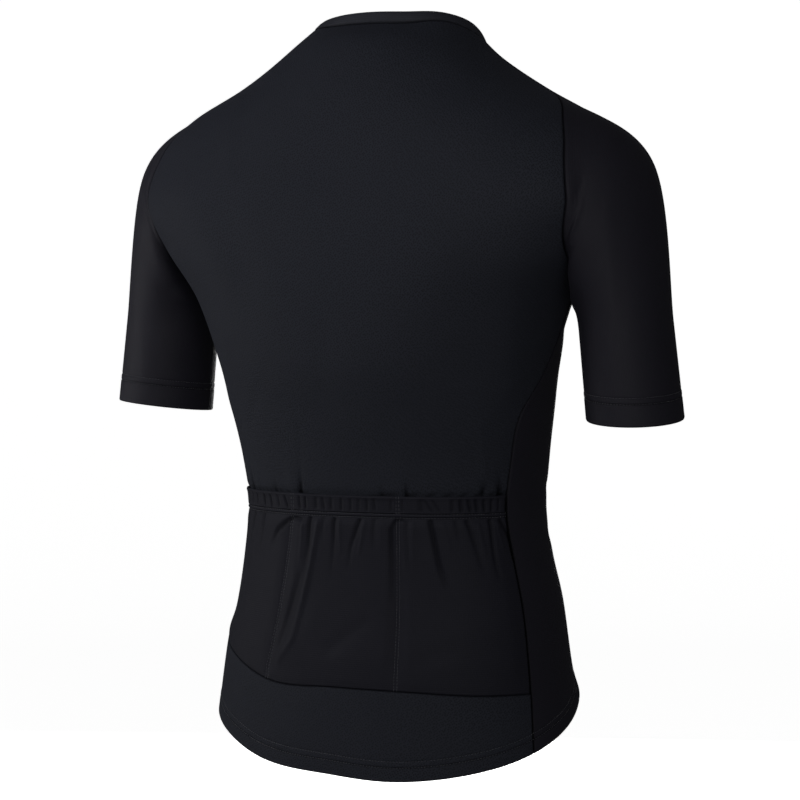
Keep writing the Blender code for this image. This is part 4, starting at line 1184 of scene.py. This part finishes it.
def coilTree():
    # Loops of the coil lie across the tapes by turns, one from each side.
    tree, given = newTree("Zip coil", {
        "Pitch": zipShape["coilPitch"], "Half width": zipShape["coilHalfWidth"],
        "Wire radius": zipShape["wire"], "Tilt": zipShape["coilTilt"],
    })
    odd = calculate(tree, "MODULO", addNode(tree, "GeometryNodeInputIndex").outputs["Index"], 2)
    other = calculate(tree, "MULTIPLY", given["Tilt"], -1)
    tilt = addNode(tree, "ShaderNodeMapRange", {"Value": odd, "To Min": given["Tilt"], "To Max": other})
    spin = addNode(tree, "ShaderNodeCombineXYZ", {"Y": tilt.outputs["Result"]}).outputs[0]
    size = {"X": given["Half width"], "Y": given["Wire radius"], "Z": given["Wire radius"]}
    return finishTree(tree, ballsAlong(tree, given, 8, 8, size, spin), zipCoil)


def madeByNodes(name, carrier, lines, tree, sizes=None):
    vertices, edges = [], []
    for line in lines:
        first = len(vertices)
        vertices += [tuple(p) for p in line]
        edges += [(first + k, first + k + 1) for k in range(len(line) - 1)]
    mesh = bpy.data.meshes.new(name + "Line")
    mesh.from_pydata(vertices, edges, [])
    thing = addObject(name + "Line", mesh)
    modifier = thing.modifiers.new("Nodes", "NODES")
    modifier.node_group = tree
    sockets = {item.name: item.identifier for item in tree.interface.items_tree if item.in_out == "INPUT"}
    for label, value in (sizes or {}).items():
        modifier[sockets[label]] = value
    view = bpy.context.evaluated_depsgraph_get()
    view.update()
    mesh = bpy.data.meshes.new_from_object(thing.evaluated_get(view), depsgraph=view)
    thing.modifiers.remove(modifier)
    bpy.data.objects.remove(thing)
    mesh.name = name
    pieces[name] = addObject(name, mesh)
    sewnOn.setdefault(carrier, []).append(name)


threadRise = 0.00013


def acrossLine(grid, distance, fromTop=False):
    # a line over every column, at a distance from the foot or from the top
    measure, wanted = (grid.fromTop, distance) if fromTop else (-grid.fromFoot, -distance)
    surface = grid.points + grid.normals * threadRise
    line = np.array([
        [np.interp(wanted, measure[:, k], surface[:, k, axis]) for axis in range(3)]
        for k in range(surface.shape[1])
    ])
    return line if grid.around is None else np.concatenate([line, line[:1]])


def downLine(grid, across, wanted, rows=slice(None)):
    # a line down the rows, where across has the value wanted in each
    surface = grid.points + grid.normals * threadRise
    wanted = np.broadcast_to(wanted, len(across))
    return np.array([
        [np.interp(wanted[k], across[k], surface[k, :, axis]) for axis in range(3)]
        for k in range(len(across))[rows]
    ])


def dividerLines(grid, rows):
    # two lines of stitches down each divider
    return [
        downLine(grid, grid.angle, dividerAngle(divider, grid.z[:, 0]) + offset / metresPerDegree, rows)
        for divider in pocketShape["dividers"] for offset in (-pocketShape["twin"], pocketShape["twin"])
    ]


stitches = stitchTree()
hemmed = {
    "lowerBack": "lowerBackPanel", "sideLeft": "sidePanelLeft", "sideRight": "sidePanelRight",
    "frontLeft": "frontLeft", "frontRight": "frontRight",
}
for name, panel in hemmed.items():
    lines = [acrossLine(grids[panel], line) for line in hemShape["lines"]]
    madeByNodes(name + "HemStitches", panel, lines, stitches, {"Seed": len(name)})
for side in ("Left", "Right"):
    lines = [acrossLine(grids["sleeve" + side], line) for line in cuffHem["lines"]]
    madeByNodes("cuff" + side + "Stitches", "sleeve" + side, lines, stitches, {"Seed": 11})
    grid = grids["front" + side]
    wanted = grid.fromRight[:, -1] - zipShape["stitches"] if side == "Left" else zipShape["stitches"]
    lines = [downLine(grid, grid.fromRight, wanted)]
    madeByNodes("zip" + side + "Stitches", "front" + side, lines, stitches, {"Seed": 12})

grid = grids["pocketPanel"]
below = int(np.argmax(grid.fromTop[:, 0] > pocketShape["ridge"] + pocketShape["twinFrom"]))
lines = [acrossLine(grid, pocketShape[line], fromTop=True) for line in ("ridge", "topLine")]
lines += dividerLines(grid, slice(below, -2))
madeByNodes("pocketStitches", "pocketPanel", lines, stitches, {"Seed": 13})
lines = dividerLines(grids["pocketBand"], slice(3, -2))
madeByNodes("bandStitches", "pocketBand", lines, stitches, {"Seed": 14})

# the coil runs between the tapes, just behind their faces
left, right = grids["zipTapeLeft"], grids["zipTapeRight"]
middle = (left.points[:, 0] + right.points[:, 0]) / 2
middle += unit(left.normals[:, 0] + right.normals[:, 0]) * zipShape["coilForward"]
madeByNodes("zipCoil", "zipTapeLeft", [middle[zipShape["coilFrom"] :]], coilTree())
print("stitches and zip coil made")

# piece: solid, slot, flat width, flat length, flat area, how it is held, what it hangs from
cut = {
    "backPanel": ("back_panel", "mesh_knit", 0.520, 0.700, 0.256, "draped", "collarBand"),
    "lowerBackPanel": ("lower_back_panel", "mesh_knit", 0.400, 0.095, 0.028, "hung", "backPanel"),
    "sidePanelLeft": ("side_panel_left", "smooth_knit", 0.105, 0.400, 0.032, "hung", "backPanel"),
    "sidePanelRight": ("side_panel_right", "smooth_knit", 0.108, 0.425, 0.034, "hung", "backPanel"),
    "frontLeft": ("front_left", "mesh_knit", 0.230, 0.690, 0.098, "draped", "collarBand"),
    "frontRight": ("front_right", "mesh_knit", 0.230, 0.700, 0.099, "draped", "collarBand"),
    "sleeveLeft": ("sleeve_left", "smooth_knit", 0.590, 0.348, 0.075, "hung", "backPanel", "frontLeft"),
    "sleeveRight": ("sleeve_right", "smooth_knit", 0.590, 0.356, 0.0755, "hung", "backPanel", "frontRight"),
    "collarBand": ("collar", "smooth_knit", 0.520, 0.020, 0.0081, "draped", "backPanel"),
    "pocketPanel": (
        "pocket_panel", "smooth_knit", 0.390, 0.165, 0.055, "gathered", "backPanel", "pocketBand",
    ),
    "pocketBand": ("pocket_band", "elastic", 0.335, 0.017, 0.0053, "gathered", "backPanel"),
    "zipTapeLeft": ("zip_tape_left", "zip_tape", 0.013, 0.546, 0.0069, "hung", "frontLeft"),
    "zipTapeRight": ("zip_tape_right", "zip_tape", 0.013, 0.546, 0.0069, "hung", "frontRight"),
}
for piece in pieces.values():
    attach(piece, "garment")
for name, (solid, slot, width, length, area, held, *rests) in cut.items():
    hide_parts(solid)
for node in ("zip_slider", "zip_pull"):
    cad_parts[node].data.materials.clear()
    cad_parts[node].data.materials.append(zipMetal)

studio = {
    "floor": -1.05,
    "floorRadius": 4.2,
    "wallRadius": 5.4,
    "wallHeight": 2.2,
    "paperGlow": 0.93,
    "world": 0.045,
    "azimuth": 208.0,
    "elevation": 2.4,
    "distance": 3.0,
    "lens": 146.3,
    "aim": (0.0, 0.0, -0.332),
}
# softboxes: azimuth, elevation and distance from the jersey, size, power and colour
softboxes = {
    "keyLight": (135, 35, 1.1, 0.6, 2.6, "#f5f7ff"),
    "sideLight": (117, -2, 1.05, 0.5, 3.9, "#ffffff"),
    "overLight": (195, 30, 1.2, 0.6, 2.4, "#ffffff"),
    "fillLight": (205, 7, 2.6, 1.6, 17.5, "#ffffff"),
    "rightLight": (228, 0, 2.6, 1.6, 7.5, "#ffffff"),
    "frontLight": (22, -2, 2.8, 1.0, 20, "#ffffff"),
}


def backdrop():
    # a round floor that curves up into a low wall, so that no edge shows from any side
    turns = np.linspace(0, 2 * math.pi, 97)[:-1]
    rise = studio["wallRadius"] - studio["floorRadius"]
    profile = [(studio["floorRadius"] * share, 0.0) for share in (0.25, 0.5, 0.75)]
    profile += [
        (studio["floorRadius"] + rise * math.sin(bend), rise * (1 - math.cos(bend)))
        for bend in np.linspace(0, math.pi / 2, 13)
    ]
    profile += [(studio["wallRadius"], studio["wallHeight"])]
    vertices = [(0, 0, studio["floor"])]
    vertices += [
        (r * math.cos(t), r * math.sin(t), studio["floor"] + rise) for r, rise in profile for t in turns
    ]
    count = len(turns)
    faces = [(0, 1 + k, 1 + (k + 1) % count) for k in range(count)]
    for ring in range(len(profile) - 1):
        a, b = 1 + ring * count, 1 + (ring + 1) * count
        faces += [(a + k, b + k, b + (k + 1) % count, a + (k + 1) % count) for k in range(count)]
    mesh = bpy.data.meshes.new("studioFloor")
    mesh.from_pydata(vertices, [], faces)
    mesh.polygons.foreach_set("use_smooth", np.ones(len(mesh.polygons), bool))
    paper = newMaterial("matt white paper", {
        "Roughness": 0.9, "Specular IOR Level": 0.2, "Base Color": linearColour("#f6f6f5"),
        "Emission Color": linearColour("#ffffff"), "Emission Strength": studio["paperGlow"],
    })[0]
    mesh.materials.append(paper)
    floor = addObject("studioFloor", mesh)
    # the pale paper stays out of the jersey's own light, as black flags keep it in a studio
    floor.visible_diffuse = floor.visible_glossy = False
    return floor


def placeAround(thing, azimuth, elevation, distance):
    # stands the thing so far round, up and away from the jersey, and points it there
    a, e = math.radians(azimuth), math.radians(elevation)
    back = Vector((math.sin(a) * math.cos(e), -math.cos(a) * math.cos(e), math.sin(e)))
    thing.location = Vector(studio["aim"]) + back * distance
    thing.rotation_euler = (Vector(studio["aim"]) - thing.location).to_track_quat("-Z", "Y").to_euler()


backdrop()
world = bpy.data.worlds.new("studio")
world.use_nodes = True
world.node_tree.nodes["Background"].inputs["Strength"].default_value = studio["world"]
world.node_tree.nodes["Background"].inputs["Color"].default_value = linearColour("#ffffff")
bpy.context.scene.world = world
for name, (azimuth, elevation, distance, size, power, colour) in softboxes.items():
    light = bpy.data.lights.new(name, "AREA")
    light.shape = "DISK"
    light.size = size
    light.energy = power
    light.color = linearColour(colour)[:3]
    placeAround(addObject(name, light), azimuth, elevation, distance)

camera = addObject("camera", bpy.data.cameras.new("camera"))
camera.data.lens = studio["lens"]
camera.data.sensor_width = 36
placeAround(camera, studio["azimuth"], studio["elevation"], studio["distance"])
bpy.context.scene.camera = camera
bpy.context.scene.view_settings.view_transform = "Standard"
print("studio set")
